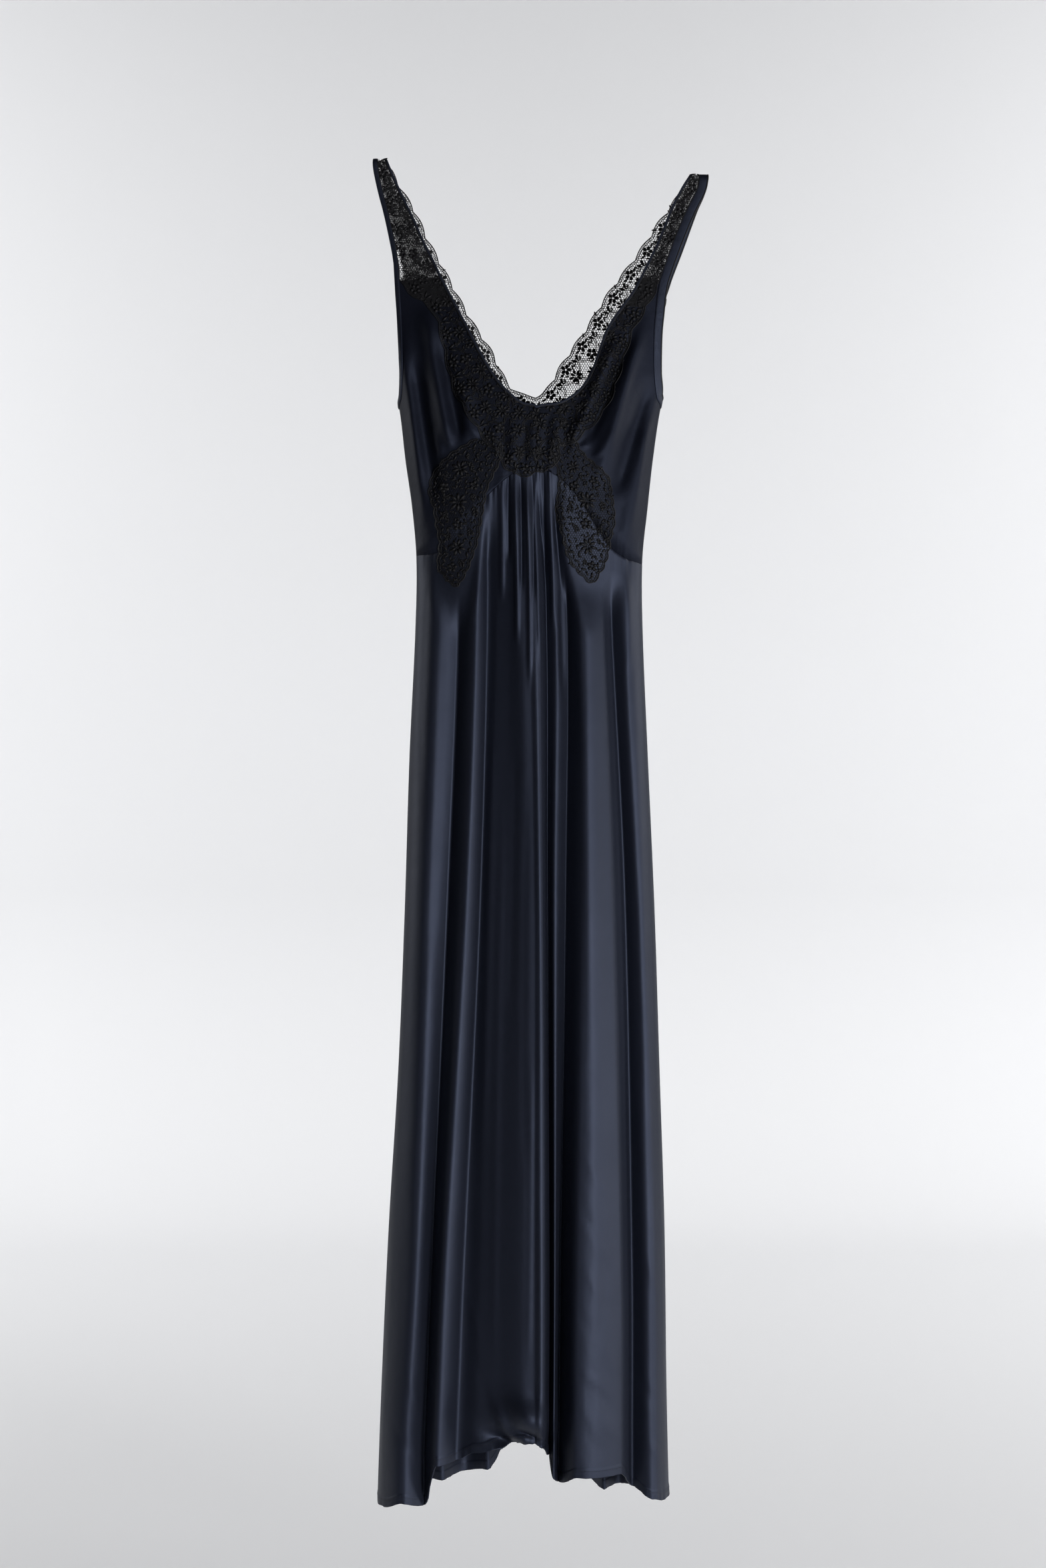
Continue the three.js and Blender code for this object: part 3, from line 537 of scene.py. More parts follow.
# Long folds that fade in and out; bow bends one sideways
def foldRise(folds, x, z):
    total = np.zeros_like(x)
    for xTop, zTop, xFoot, zFoot, width, rise, bow in zip(*folds.values()):
        down = (zTop - z) / (zTop - zFoot)
        middle = mix(xTop, xFoot, down) + 4 * bow * down * (1 - down)
        near = np.exp(-(((x - middle) / width) ** 2))
        total += rise * smooth(down * 4) * smooth((1 - down) * 5) * near
    return total


# Soft ovals, raised or sunk
def dentRise(dents, x, z):
    total = np.zeros_like(x)
    for xMiddle, zMiddle, long, wide, slope, rise in zip(*dents.values()):
        cos, sin = math.cos(math.radians(slope)), math.sin(math.radians(slope))
        along = ((x - xMiddle) * cos + (z - zMiddle) * sin) / long
        across = ((z - zMiddle) * cos - (x - xMiddle) * sin) / wide
        total += rise * np.exp(-along * along - across * across)
    return total


# Short gathers that open out above their seam
def gatherRise(gathers, x, z):
    total = np.zeros_like(x)
    for xFoot, zFoot, lean in zip(gathers["x"], gathers["z"], gathers["lean"]):
        up = (z - zFoot) / hang["gatherLength"]
        width = hang["gatherWidth"] * (1 + np.clip(up, 0, 1))
        off = (x - xFoot - lean * (z - zFoot)) / width
        fade = smooth(up * 6) * np.clip(1 - up, 0, 1)
        total += hang["gatherRise"] * fade * np.exp(-off * off)
    return total


# Where the ridges and hollows of the skirt pass at each height, with the two sides
def passesAt(half, z):
    creases = half["creases"]
    left, right = sidesAt(z)
    tracks = np.array([creases[name] for name in ("gather", "waist", "thigh", "knee", "hem")])
    between = [curveThrough(creaseHeights, track, z) for track in tracks.T]
    return np.array([left, *between, right])


def creaseRise(half, x, z):
    passes = passesAt(half, z)
    rises = np.array([0, *half["creases"]["rise"], 0])
    i = (x[None] > passes[1:-1]).sum(0)
    last = len(rises) - 1
    before, after = np.maximum(i - 1, 0), np.minimum(i + 2, last)
    at = lambda k: np.take_along_axis(passes, k[None], 0)[0]
    span = at(i + 1) - at(i)
    t = np.clip((x - at(i)) / span, 0, 1)
    slopeA = (rises[i + 1] - rises[before]) / (at(i + 1) - at(before))
    slopeB = (rises[after] - rises[i]) / (at(after) - at(i))
    soft = cubic(rises[i], rises[i + 1], slopeA, slopeB, span, t)
    # between a true ridge and a true hollow the ridge stays round and the hollow is sharp
    steps = np.sign(np.diff(rises))
    turning = np.array([False, *(steps[1:] != steps[:-1]), False])
    down = np.where(rises[i] > rises[i + 1], t, 1 - t)
    pinched = np.maximum(rises[i], rises[i + 1]) - np.abs(rises[i + 1] - rises[i]) * down**2
    return mix(soft, pinched, hang["valleyPinch"] * (turning[i] & turning[i + 1]))


# Groove and pucker of the waist seam, hidden under the lace, and pucker of the hem
seamDetail = {
    "groove": 0.7,
    "grooveWidth": 1.3,
    "middle": -22,
    "hidden": 58,
    "fadeIn": 12,
    "pucker": 0.45,
    "puckerReach": 9,
    "puckerWave": (1.31, 2.2, 0.17),
    "puckerBeat": (0.6, 0.73, 1.0),
    "hemPucker": 0.5,
    "hemReach": 7,
    "hemWave": (1.15, 2, 0.21),
}


# An uneven ripple along x
def ripple(x, fine, sway, slow):
    return np.sin(x * fine + sway * np.sin(x * slow))


# How far the cloth lies from the plane between front and back
def depthAt(half, x, z):
    x, z = np.broadcast_arrays(np.asarray(x, float), np.asarray(z, float))
    plain = plainDepth(half, x, z)
    seam = tableValue(half["waist"], "x", x, "z")
    left, right = sidesAt(z)
    calm = smooth(np.minimum(x - left, right - x) / hang["sideCalm"])
    bodice = foldRise(half["drapes"], x, z) * calm
    if half["gathers"] is not None:
        bodice = bodice + gatherRise(half["gathers"], x, z)
    start = tableValue(half["foldsFrom"], "x", x, "z")
    growth = tableValue(foldGrowth, "z", z, "share") * smooth((start - z) / hang["foldStart"])
    main = np.where(z > seam, bodice, creaseRise(half, x, z) * growth)
    off = (z - seam) / seamDetail["grooveWidth"]
    hidden = np.abs(x - seamDetail["middle"]) - seamDetail["hidden"]
    shown = smooth(hidden / seamDetail["fadeIn"])
    groove = -seamDetail["groove"] * np.exp(-off * off) * shown
    beat, pace, offset = seamDetail["puckerBeat"]
    wave = ripple(x, *seamDetail["puckerWave"]) + beat * np.sin(x * pace + offset)
    pucker = seamDetail["pucker"] * wave * np.exp(-np.abs(z - seam) / seamDetail["puckerReach"])
    fine = foldRise(half["fine"], x, z) * hang["fineShare"]
    dents = dentRise(half["dents"], x, z)
    return plain + main + (fine + dents + groove + pucker) * calm


# Steps by which a slope is measured, and how near an edge it is set instead
slopeProbe = {"least": 0.04, "most": 0.7, "edge": 0.1}


# Which way the cloth faces; at the sides and over the straps' tops the direction is known
def outwardAt(half, x, z):
    left, right = sidesAt(z)
    below = -hang["strapTilt"] * x - z
    toSide = np.minimum(x - left, right - x)
    stepX = np.clip(toSide / 2, slopeProbe["least"], slopeProbe["most"])
    stepZ = np.clip(below / 2, slopeProbe["least"], slopeProbe["most"])
    slopeX = (depthAt(half, x + stepX, z) - depthAt(half, x - stepX, z)) / (2 * stepX)
    slopeZ = (depthAt(half, x, z + stepZ) - depthAt(half, x, z - stepZ)) / (2 * stepZ)
    out = np.stack([-slopeX, np.full_like(x, half["side"]), -slopeZ], -1)
    onLeft = x - left < right - x
    above, under = sidesAt(z + 1), sidesAt(z - 1)
    lean = np.where(onLeft, above[0] - under[0], above[1] - under[1])
    sideways = np.stack([np.ones_like(x), np.zeros_like(x), -lean / 2], -1)
    sideways *= np.where(onLeft, -1.0, 1.0)[..., None]
    out = np.where((toSide < slopeProbe["edge"])[..., None], sideways, out)
    out = np.where((below < slopeProbe["edge"])[..., None], np.array([0, 0, 1.0]), out)
    return out / np.linalg.norm(out, axis=-1, keepdims=True)


# Places on the cloth and their outward directions
def spots(half, x, z, lift=0.0):
    x, z = (np.array(v, float) for v in np.broadcast_arrays(x, z))
    out = outwardAt(half, x, z)
    y = half["side"] * (hang["seamGap"] / 2 + depthAt(half, x, z))
    return np.stack([x, y, z], -1) + out * np.asarray(lift, float)[..., None], out


front = {
    "name": "front",
    "side": -1,
    "drapes": frontDrapes,
    "gathers": cupGathers,
    "fine": frontFine,
    "dents": frontDents,
    "waist": frontWaist,
    "foldsFrom": frontFoldsFrom,
    "creases": frontCreases,
}
back = {
    "name": "back",
    "side": 1,
    "drapes": backDrapes,
    "gathers": None,
    "fine": backFine,
    "dents": backDents,
    "waist": backWaist,
    "foldsFrom": backWaist,
    "creases": backCreases,
}


# Materials
def newMaterial(name, base, roughness):
    material = bpy.data.materials.new(name)
    material.use_nodes = True
    shader = material.node_tree.nodes["Principled BSDF"]
    shader.inputs["Base Color"].default_value = (*base, 1)
    shader.inputs["Roughness"].default_value = roughness
    return material, material.node_tree, shader


# A shader node of a kind, with some inputs set
def addNode(tree, kind, **inputs):
    node = tree.nodes.new("ShaderNode" + kind)
    for name, value in inputs.items():
        node.inputs[name.replace("_", " ")].default_value = value
    return node


# Each wire: a node, its output, the next node and its input
def joinUp(tree, *wires):
    for source, output, target, given in wires:
        tree.links.new(source.outputs[output], target.inputs[given])


def mapRange(tree, source, low, high):
    node = addNode(tree, "MapRange", To_Min=low, To_Max=high)
    tree.links.new(source, node.inputs["Value"])
    return node.outputs["Result"]


# Colour and roughness that follow two fields
def vary(tree, shader, field, shades, roughField, roughs):
    blend = addNode(tree, "Mix")
    blend.data_type = "RGBA"
    for socket, shade in zip("AB", shades):
        blend.inputs[socket].default_value = (*shade, 1)
    tree.links.new(field, blend.inputs["Factor"])
    tree.links.new(blend.outputs["Result"], shader.inputs["Base Color"])
    tree.links.new(mapRange(tree, roughField, *roughs), shader.inputs["Roughness"])


satinLook = {
    "dark": (0.0026, 0.003, 0.0056),
    "light": (0.004, 0.0046, 0.0084),
    "roughLow": 0.54,
    "roughHigh": 0.62,
    "patchScale": 14,
    "threadScale": 1450,
    "threadBump": 0.05,
    "crinkleScale": 48,
    "crinkleBump": 0.4,
    "crinkleDepth": 0.0012,
    "threadDepth": 0.0002,
    "specular": 0.5,
    "tint": (0.58, 0.68, 1.0),
}


def satinMaterial(name, look):
    material, tree, shader = newMaterial(name, look["dark"], look["roughLow"])
    place = addNode(tree, "TexCoord")
    patch = addNode(tree, "TexNoise", Scale=look["patchScale"], Detail=5.0)
    crinkle = addNode(tree, "TexNoise", Scale=look["crinkleScale"], Detail=3.0)
    weave = addNode(tree, "TexWave", Scale=look["threadScale"], Distortion=1.5, Detail=2.0)
    soft = addNode(tree, "Bump", Strength=look["crinkleBump"], Distance=look["crinkleDepth"])
    fine = addNode(tree, "Bump", Strength=look["threadBump"], Distance=look["threadDepth"])
    field, roughs = patch.outputs["Fac"], (look["roughHigh"], look["roughLow"])
    vary(tree, shader, field, (look["dark"], look["light"]), field, roughs)
    joinUp(
        tree,
        (place, "Object", patch, "Vector"),
        (place, "Object", crinkle, "Vector"),
        (place, "UV", weave, "Vector"),
        (crinkle, "Fac", soft, "Height"),
        (weave, "Fac", fine, "Height"),
        (soft, "Normal", fine, "Normal"),
        (fine, "Normal", shader, "Normal"),
    )
    shader.inputs["Specular IOR Level"].default_value = look["specular"]
    shader.inputs["Specular Tint"].default_value = (*look["tint"], 1)
    return material


laceLook = {
    "dark": (0.0016, 0.0016, 0.0024),
    "light": (0.0045, 0.0045, 0.0065),
    "rough": 0.62,
    "roughSpread": 0.1,
    "scale": 420,
    "bump": 0.35,
    "bumpDepth": 0.0003,
    "specular": 0.28,
}


def threadMaterial(name, look):
    material, tree, shader = newMaterial(name, look["dark"], look["rough"])
    place = addNode(tree, "TexCoord")
    noise = addNode(tree, "TexNoise", Scale=look["scale"], Detail=3.0)
    bump = addNode(tree, "Bump", Strength=look["bump"], Distance=look["bumpDepth"])
    shader.inputs["Specular IOR Level"].default_value = look["specular"]
    field = noise.outputs["Fac"]
    roughs = (look["rough"] + look["roughSpread"], look["rough"] - look["roughSpread"])
    vary(tree, shader, field, (look["dark"], look["light"]), field, roughs)
    joinUp(
        tree,
        (place, "Object", noise, "Vector"),
        (noise, "Fac", bump, "Height"),
        (bump, "Normal", shader, "Normal"),
    )
    return material


# Painted shade: the bodice satin is a duller copy of the skirt satin, less specular and rougher
# with finer crinkles, so the whole bodice renders darker as if it lay in shade
shadedBodiceLook = dict(satinLook, specular=0.22, roughLow=0.56, roughHigh=0.66, crinkleScale=95)
tapeLook = dict(satinLook, threadScale=2100, crinkleScale=160)
sewingLook = dict(laceLook, rough=0.55, scale=900)
satin = satinMaterial("satin", satinLook)
shadedBodiceSatin = satinMaterial("shadedBodiceSatin", shadedBodiceLook)
lace = threadMaterial("lace", laceLook)
tape = satinMaterial("tape", tapeLook)
thread = threadMaterial("thread", sewingLook)
print("materials made")


# Meshes
def addObject(name, mesh, material=None):
    thing = bpy.data.objects.new(name, mesh)
    bpy.context.scene.collection.objects.link(thing)
    if material is not None:
        mesh.materials.clear()
        mesh.materials.append(material)
    return thing


def meshFrom(name, points, faces, edges=(), uv=None):
    mesh = bpy.data.meshes.new(name)
    mesh.from_pydata((np.asarray(points) / 1000).tolist(), edges, faces)
    if uv is not None:
        layer = mesh.uv_layers.new(name="cloth")
        corners = np.empty(len(mesh.loops), int)
        mesh.loops.foreach_get("vertex_index", corners)
        layer.data.foreach_set("uv", (np.asarray(uv)[corners] / 1000).ravel())
    if len(faces):
        mesh.shade_smooth()
    mesh.update()
    return mesh


# A closed wall round a grid of places, even or graded in thickness
def wall(name, points, outs, thickness, material):
    rows, columns = points.shape[:2]
    half = np.broadcast_to(np.asarray(thickness, float) / 2, (rows, columns))[..., None]
    both = np.concatenate([(points + outs * off).reshape(-1, 3) for off in (half, -half)])
    index = np.arange(rows * columns).reshape(rows, columns)
    inner = index + rows * columns
    quad = lambda a, b, c, d: np.stack([a, b, c, d], -1).reshape(-1, 4)
    faces = [
        quad(index[:-1, :-1], index[:-1, 1:], index[1:, 1:], index[1:, :-1]),
        quad(inner[:-1, :-1], inner[1:, :-1], inner[1:, 1:], inner[:-1, 1:]),
        quad(index[0, :-1], inner[0, :-1], inner[0, 1:], index[0, 1:]),
        quad(index[-1, :-1], index[-1, 1:], inner[-1, 1:], inner[-1, :-1]),
        quad(index[:-1, 0], index[1:, 0], inner[1:, 0], inner[:-1, 0]),
        quad(index[:-1, -1], inner[:-1, -1], inner[1:, -1], index[1:, -1]),
    ]
    faces = np.concatenate(faces)
    middle, column = rows // 2, columns // 2
    across = points[middle, column + 1] - points[middle, column]
    down = points[middle + 1, column] - points[middle, column]
    if np.dot(np.cross(across, down), outs[middle, column]) < 0:
        faces = faces[:, ::-1]
    u, v = travelled(points[middle]), travelled(points[:, column])
    flat = np.stack(np.meshgrid(u, v), -1).reshape(-1, 2)
    mesh = meshFrom(name, both, faces.tolist(), uv=np.concatenate([flat, flat]))
    return addObject(name, mesh, material)


# An empty tree with named inputs, their kinds and default values
def newTree(name, sizes):
    tree = bpy.data.node_groups.new(name, "GeometryNodeTree")
    tree.interface.new_socket("Geometry", in_out="INPUT", socket_type="NodeSocketGeometry")
    for label, (kind, value) in sizes.items():
        socket = tree.interface.new_socket(label, in_out="INPUT", socket_type=kind)
        if value is not None:
            socket.default_value = value
    tree.interface.new_socket("Geometry", in_out="OUTPUT", socket_type="NodeSocketGeometry")
    return tree, tree.nodes.new("NodeGroupInput"), tree.nodes.new("NodeGroupOutput")


# Threads along every edge of a mesh
def threadTree():
    sizes = {
        "Radius": ("NodeSocketFloat", 0.0002),
        "Sides": ("NodeSocketInt", 4),
        "Material": ("NodeSocketMaterial", None),
    }
    tree, given, result = newTree("threads", sizes)
    new = tree.nodes.new
    curve = new("GeometryNodeMeshToCurve")
    ring = new("GeometryNodeCurvePrimitiveCircle")
    tube = new("GeometryNodeCurveToMesh")
    shade = new("GeometryNodeSetShadeSmooth")
    whole = new("GeometryNodeRealizeInstances")
    paint = new("GeometryNodeSetMaterial")
    tube.inputs["Fill Caps"].default_value = True
    joinUp(
        tree,
        (given, "Geometry", curve, "Mesh"),
        (given, "Radius", ring, "Radius"),
        (given, "Sides", ring, "Resolution"),
        (curve, "Curve", tube, "Curve"),
        (ring, "Curve", tube, "Profile Curve"),
        (tube, "Mesh", shade, "Geometry"),
        (shade, "Geometry", whole, "Geometry"),
        (whole, "Geometry", paint, "Geometry"),
        (given, "Material", paint, "Material"),
        (paint, "Geometry", result, "Geometry"),
    )
    return tree


# Short stitches set along a line, each lying in the line's direction
def stitchTree():
    sizes = {
        "Spacing": ("NodeSocketFloat", 0.0025),
        "Length": ("NodeSocketFloat", 0.0017),
        "Radius": ("NodeSocketFloat", 0.0002),
        "Material": ("NodeSocketMaterial", None),
    }
    tree, given, result = newTree("stitches", sizes)
    new = tree.nodes.new
    curve = new("GeometryNodeMeshToCurve")
    along = new("GeometryNodeResampleCurve")
    bead = new("GeometryNodeMeshUVSphere")
    size = addNode(tree, "CombineXYZ")
    tangent = new("GeometryNodeInputTangent")
    turn = new("FunctionNodeAlignRotationToVector")
    halfLength = addNode(tree, "Math")
    shade = new("GeometryNodeSetShadeSmooth")
    place = new("GeometryNodeInstanceOnPoints")
    whole = new("GeometryNodeRealizeInstances")
    paint = new("GeometryNodeSetMaterial")
    along.mode = "LENGTH"
    turn.axis = "Z"
    halfLength.operation = "MULTIPLY"
    halfLength.inputs[1].default_value = 0.5
    bead.inputs["Segments"].default_value = 6
    bead.inputs["Rings"].default_value = 4
    bead.inputs["Radius"].default_value = 1.0
    joinUp(
        tree,
        (given, "Geometry", curve, "Mesh"),
        (curve, "Curve", along, "Curve"),
        (given, "Spacing", along, "Length"),
        (given, "Length", halfLength, 0),
        (given, "Radius", size, "X"),
        (given, "Radius", size, "Y"),
        (halfLength, "Value", size, "Z"),
        (tangent, "Tangent", turn, "Vector"),
        (bead, "Mesh", shade, "Geometry"),
        (along, "Curve", place, "Points"),
        (shade, "Geometry", place, "Instance"),
        (turn, "Rotation", place, "Rotation"),
        (size, "Vector", place, "Scale"),
        (place, "Instances", whole, "Geometry"),
        (whole, "Geometry", paint, "Geometry"),
        (given, "Material", paint, "Material"),
        (paint, "Geometry", result, "Geometry"),
    )
    return tree


threads, stitches = threadTree(), stitchTree()


# The plain mesh that a tree makes of some lines
def grown(name, points, edges, tree, **values):
    thing = addObject(name, meshFrom(name, points, [], edges))
    modifier = thing.modifiers.new(tree.name, "NODES")
    modifier.node_group = tree
    for item in tree.interface.items_tree:
        if item.in_out == "INPUT" and item.name in values:
            modifier[item.identifier] = values[item.name]
    seen = bpy.context.evaluated_depsgraph_get()
    mesh = bpy.data.meshes.new_from_object(thing.evaluated_get(seen))
    old = thing.data
    thing.modifiers.clear()
    bpy.data.objects.remove(thing)
    bpy.data.meshes.remove(old)
    return mesh


def joined(name, meshes, material):
    whole = bmesh.new()
    for mesh in meshes:
        whole.from_mesh(mesh)
    mesh = bpy.data.meshes.new(name)
    whole.to_mesh(mesh)
    whole.free()
    return addObject(name, mesh, material)


def chain(count, start=0):
    return [(start + k, start + k + 1) for k in range(count - 1)]


# Spacing, length and half thickness of the stitches, in metres
stitchSizes = {
    "hem": {"Spacing": 0.0031, "Length": 0.0022, "Radius": 0.0002},
    "binding": {"Spacing": 0.0024, "Length": 0.0016, "Radius": 0.00017},
    "standOff": 0.05,
}


def stitchRow(name, line, sizes):
    sewn = grown("sewn", line, chain(len(line)), stitches, Material=thread, **sizes)
    row = joined(name, [sewn], thread)
    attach(row, "root")
    return row


# Skirt
skirtMake = {
    "thickness": 0.5,
    "hemThickness": 1.2,
    "frontSteps": 10,
    "backSteps": 9,
    "rows": 205,
    "hemDepth": 10,
    "hemEase": 0.8,
    "topGuess": -380.0,
    "stitchHeight": 7,
    "cuts": {"front": ((0.60, 1.05), 0.47), "back": ((0.58, 0.97), 0.45)},
}
# Rows set closer under the waist seam and at the hem
topShares = np.array([0, 0.7, 1.4, 2.4, 3.8, 5.6, 8]) / 1000
hemShares = 1 - np.array([13, 11, 10, 9.4, 8.4, 7.6, 7, 6.4, 5, 3.4, 1.6, 0.6, 0]) / 1000


# Places of a skirt half, its columns held to the folds, with its thickness at each row
def skirtGrid(half, steps):
    count = len(half["creases"]["rise"]) + 1
    interval, share = [], []
    for k in range(count):
        for step in range(0 if k == 0 else 1, steps + 1):
            t = step / steps
            t = t**2 if k == 0 else 1 - (1 - t) ** 2 if k == count - 1 else t
            interval.append(k)
            share.append(t)
    interval, share = np.array(interval), np.array(share)

    def xAt(z):
        passes = passesAt(half, z.ravel()).reshape(-1, *z.shape)
        pick = lambda k: np.take_along_axis(passes, np.broadcast_to(k, z.shape)[None], 0)[0]
        return mix(pick(interval), pick(interval + 1), share)

    seamAt = lambda x: tableValue(half["waist"], "x", x, "z")
    top = np.full(len(share), skirtMake["topGuess"])
    for _ in range(2):
        top = seamAt(xAt(top))
    top = top - hang["seamGap"] / 2
    hems = np.array([sideHem[0], *half["creases"]["hemHeight"], sideHem[1]])
    foot = mix(hems[interval], hems[interval + 1], smooth(share))
    between = skirtMake["rows"] - len(topShares) - len(hemShares) + 2
    middle = np.linspace(topShares[-1], hemShares[0], between)[1:-1]
    down = np.concatenate([topShares, middle, hemShares])
    z = mix(top[None], foot[None], down[:, None])
    points, outs = spots(half, xAt(z), z)
    aboveHem = (1 - down) * 1000
    extra = skirtMake["hemThickness"] - skirtMake["thickness"]
    doubled = smooth((skirtMake["hemDepth"] - aboveHem) / skirtMake["hemEase"])
    thickness = skirtMake["thickness"] + extra * doubled
    nearHem = np.exp(-aboveHem / seamDetail["hemReach"])[:, None]
    wave = ripple(points[..., 0], *seamDetail["hemWave"])
    points = points + outs * (seamDetail["hemPucker"] * wave * nearHem)[..., None]
    return points, outs, thickness[:, None], down


for half, name in ((front, "skirtFront"), (back, "skirtBack")):
    points, outs, thickness, down = skirtGrid(half, skirtMake[half["name"] + "Steps"])
    piece = wall(name, points, outs, thickness, satin)
    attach(piece, "root")
    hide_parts("skirt_" + half["name"])
    row = int(np.argmin(np.abs(1 - down - skirtMake["stitchHeight"] / 1000)))
    line = points[row] + outs[row] * (skirtMake["hemThickness"] / 2 + stitchSizes["standOff"])
    hemStitches = stitchRow(name + "Stitches", line, stitchSizes["hem"])
    flat, area = skirtMake["cuts"][half["name"]]
print("skirt made")


# Cups and back of the bodice
bodiceMake = {
    "thickness": 0.5,
    "rowParts": 6,
    "laceColumns": 14,
    "satinColumns": 44,
    "edgeCrowding": 1.3,
    "backParts": 5,
    "backRows": 64,
}


# Places of a cup's satin, row by row from its armhole to the neck or centre edge
def cupGrid(table, side):
    rows = finer(table, bodiceMake["rowParts"])
    edge = sidesAt(rows["zOut"])[0 if side < 0 else 1]
    xOut = np.where(rows["zOut"] < hang["underarmHeight"], edge, rows["xOut"])
    centre = hang["centreFront"] + side * hang["seamGap"] / 2
    xIn = np.where(rows["zIn"] <= hang["necklineFoot"], centre, rows["xIn"])
    a = np.linspace(0, 1, bodiceMake["laceColumns"] + 1)[None]
    even = np.linspace(0, 1, bodiceMake["satinColumns"] + 1)[1:]
    b = (1 - (1 - even) ** bodiceMake["edgeCrowding"])[None]

    def across(inn, lace, out):
        inn, lace, out = inn[:, None], lace[:, None], out[:, None]
        return np.hstack([mix(inn, lace, a), mix(lace, out, b)])

    x = across(xIn, rows["xLace"], xOut)
    z = across(rows["zIn"], rows["zLace"], rows["zOut"])
    z[-1] = tableValue(front["waist"], "x", x[-1], "z") + hang["seamGap"] / 2
    return x, z


# Places of the back's satin, from its top edge down to the waist seam
def backGrid():
    edge = finer(backEdge, bodiceMake["backParts"])
    down = np.linspace(0, 1, bodiceMake["backRows"] + 1)[:, None]
    seam = tableValue(back["waist"], "x", edge["foot"], "z") + hang["seamGap"] / 2

    def shareOf(x, z):
        left, right = sidesAt(z)
        return (2 * x - left - right) / (right - left)

    z = mix(edge["z"][None], seam[None], down)
    share = mix(shareOf(edge["x"], edge["z"])[None], shareOf(edge["foot"], seam)[None], down)
    share[:, 0], share[:, -1] = -1, 1
    left, right = sidesAt(z)
    return (left + right) / 2 + share * (right - left) / 2, z


leftCup, rightCup, backSatin = cupGrid(cupLeft, -1), cupGrid(cupRight, 1), backGrid()
# Each piece's name, half, grid and node, with the size and area of its cut in metres
for name, half, grid, node, flat, area in (
    ("cupLeft", front, leftCup, "cup_left", (0.16, 0.3), 0.031),
    ("cupRight", front, rightCup, "cup_right", (0.14, 0.3), 0.027),
    ("bodiceBack", back, backSatin, "bodice_back", (0.30, 0.28), 0.055),
):
    points, outs = spots(half, *grid)
    # the cups and back wear the duller satin copy: painted shade over the whole bodice
    piece = wall(name, points, outs, bodiceMake["thickness"], shadedBodiceSatin)
    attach(piece, "root")
    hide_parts(node)
print("bodice made")


# Lace
laceMake = {
    "pitch": 2.5,
    "netRadius": 0.2,
    "yokeNetRadius": 0.12,
    "backNetRadius": 0.35,
    "cordRadius": 0.36,
    "edgeRadius": 0.6,
    "lift": 0.75,
    "cordLift": 0.12,
    "edgeLift": 0.1,
    "padLift": 0.15,
    "closeLift": -0.15,
    "scallop": {"spacing": 29, "depth": 3, "fade": 12},
    "smallScallop": {"spacing": 11.5, "depth": 1.6, "fade": 6},
    "barSpacing": 1.7,
    "borderWidth": 2.4,
    "padSides": 8,
    "padRise": 0.4,
    "padFoot": 0.6,
    "padTaper": 0.8,
    "leafSeed": 7,
    "leafSpacing": 5.4,
    "leafRoom": 4.2,
    "backLeafRoom": 7.4,
    "overlap": 1.4,
    "closeSpacing": 0.8,
    "closeRadius": 0.28,
    "closeStep": 2.4,
    "strapEnd": -150,
    "belowStrap": 22,
}


# The gap beside the left binding where only open net is seen
strapSlit = np.array(
    [(-147, -82), (-144.6, -83), (-140.2, -104), (-138.4, -118.5), (-143, -118.5)]
)


# Whether each point lies within a closed outline
def inside(outline, points):
    x, z = points[:, 0], points[:, 1]
    a, b = outline, np.roll(outline, -1, axis=0)
    sloping = a[:, 1] != b[:, 1]
    (ax, az), (bx, bz) = a[sloping].T, b[sloping].T
    hits = []
    for start in range(0, len(x), 2000):
        px, pz = x[start : start + 2000, None], z[start : start + 2000, None]
        crosses = (az > pz) != (bz > pz)
        hits.append((crosses & (px < (bx - ax) * (pz - az) / (bz - az) + ax)).sum(1) % 2 == 1)
    return np.concatenate(hits)


# A path with even steps, and how far along each lies
def evenPath(path, step=0.8):
    path = np.asarray(path, float)
    gone = travelled(path)
    s = np.linspace(0, gone[-1], max(2, int(round(gone[-1] / step)) + 1))
    return s, np.stack([np.interp(s, gone, path[:, k]) for k in range(path.shape[1])], -1)


# Places measured along a lace edge and inward from it
class EdgeFrame:
    def __init__(self, path, inward, softness=9, step=0.8):
        self.s, self.path = evenPath(path, step)
        reach = max(1, int(softness / step))
        count = len(self.s)
        ahead = self.path[np.minimum(np.arange(count) + reach, count - 1)]
        behind = self.path[np.maximum(np.arange(count) - reach, 0)]
        along = ahead - behind
        self.along = along / np.linalg.norm(along, axis=1, keepdims=True)
        self.inward = np.stack([-self.along[:, 1], self.along[:, 0]], -1) * inward
        self.length = self.s[-1]

    def at(self, s, w):
        pick = lambda values: np.stack([np.interp(s, self.s, values[:, k]) for k in (0, 1)], -1)
        return pick(self.path) + pick(self.inward) * np.asarray(w, float)[..., None]

    def angle(self, s):
        x, z = (np.interp(s, self.s, self.along[:, k]) for k in (0, 1))
        return math.atan2(z, x)


# Slow and quick sway of the net, across and along: how far and over what length
netWaver = ((0.3, 9, 0.15, 2.3), (0.3, 11, 0.15, 2.9))


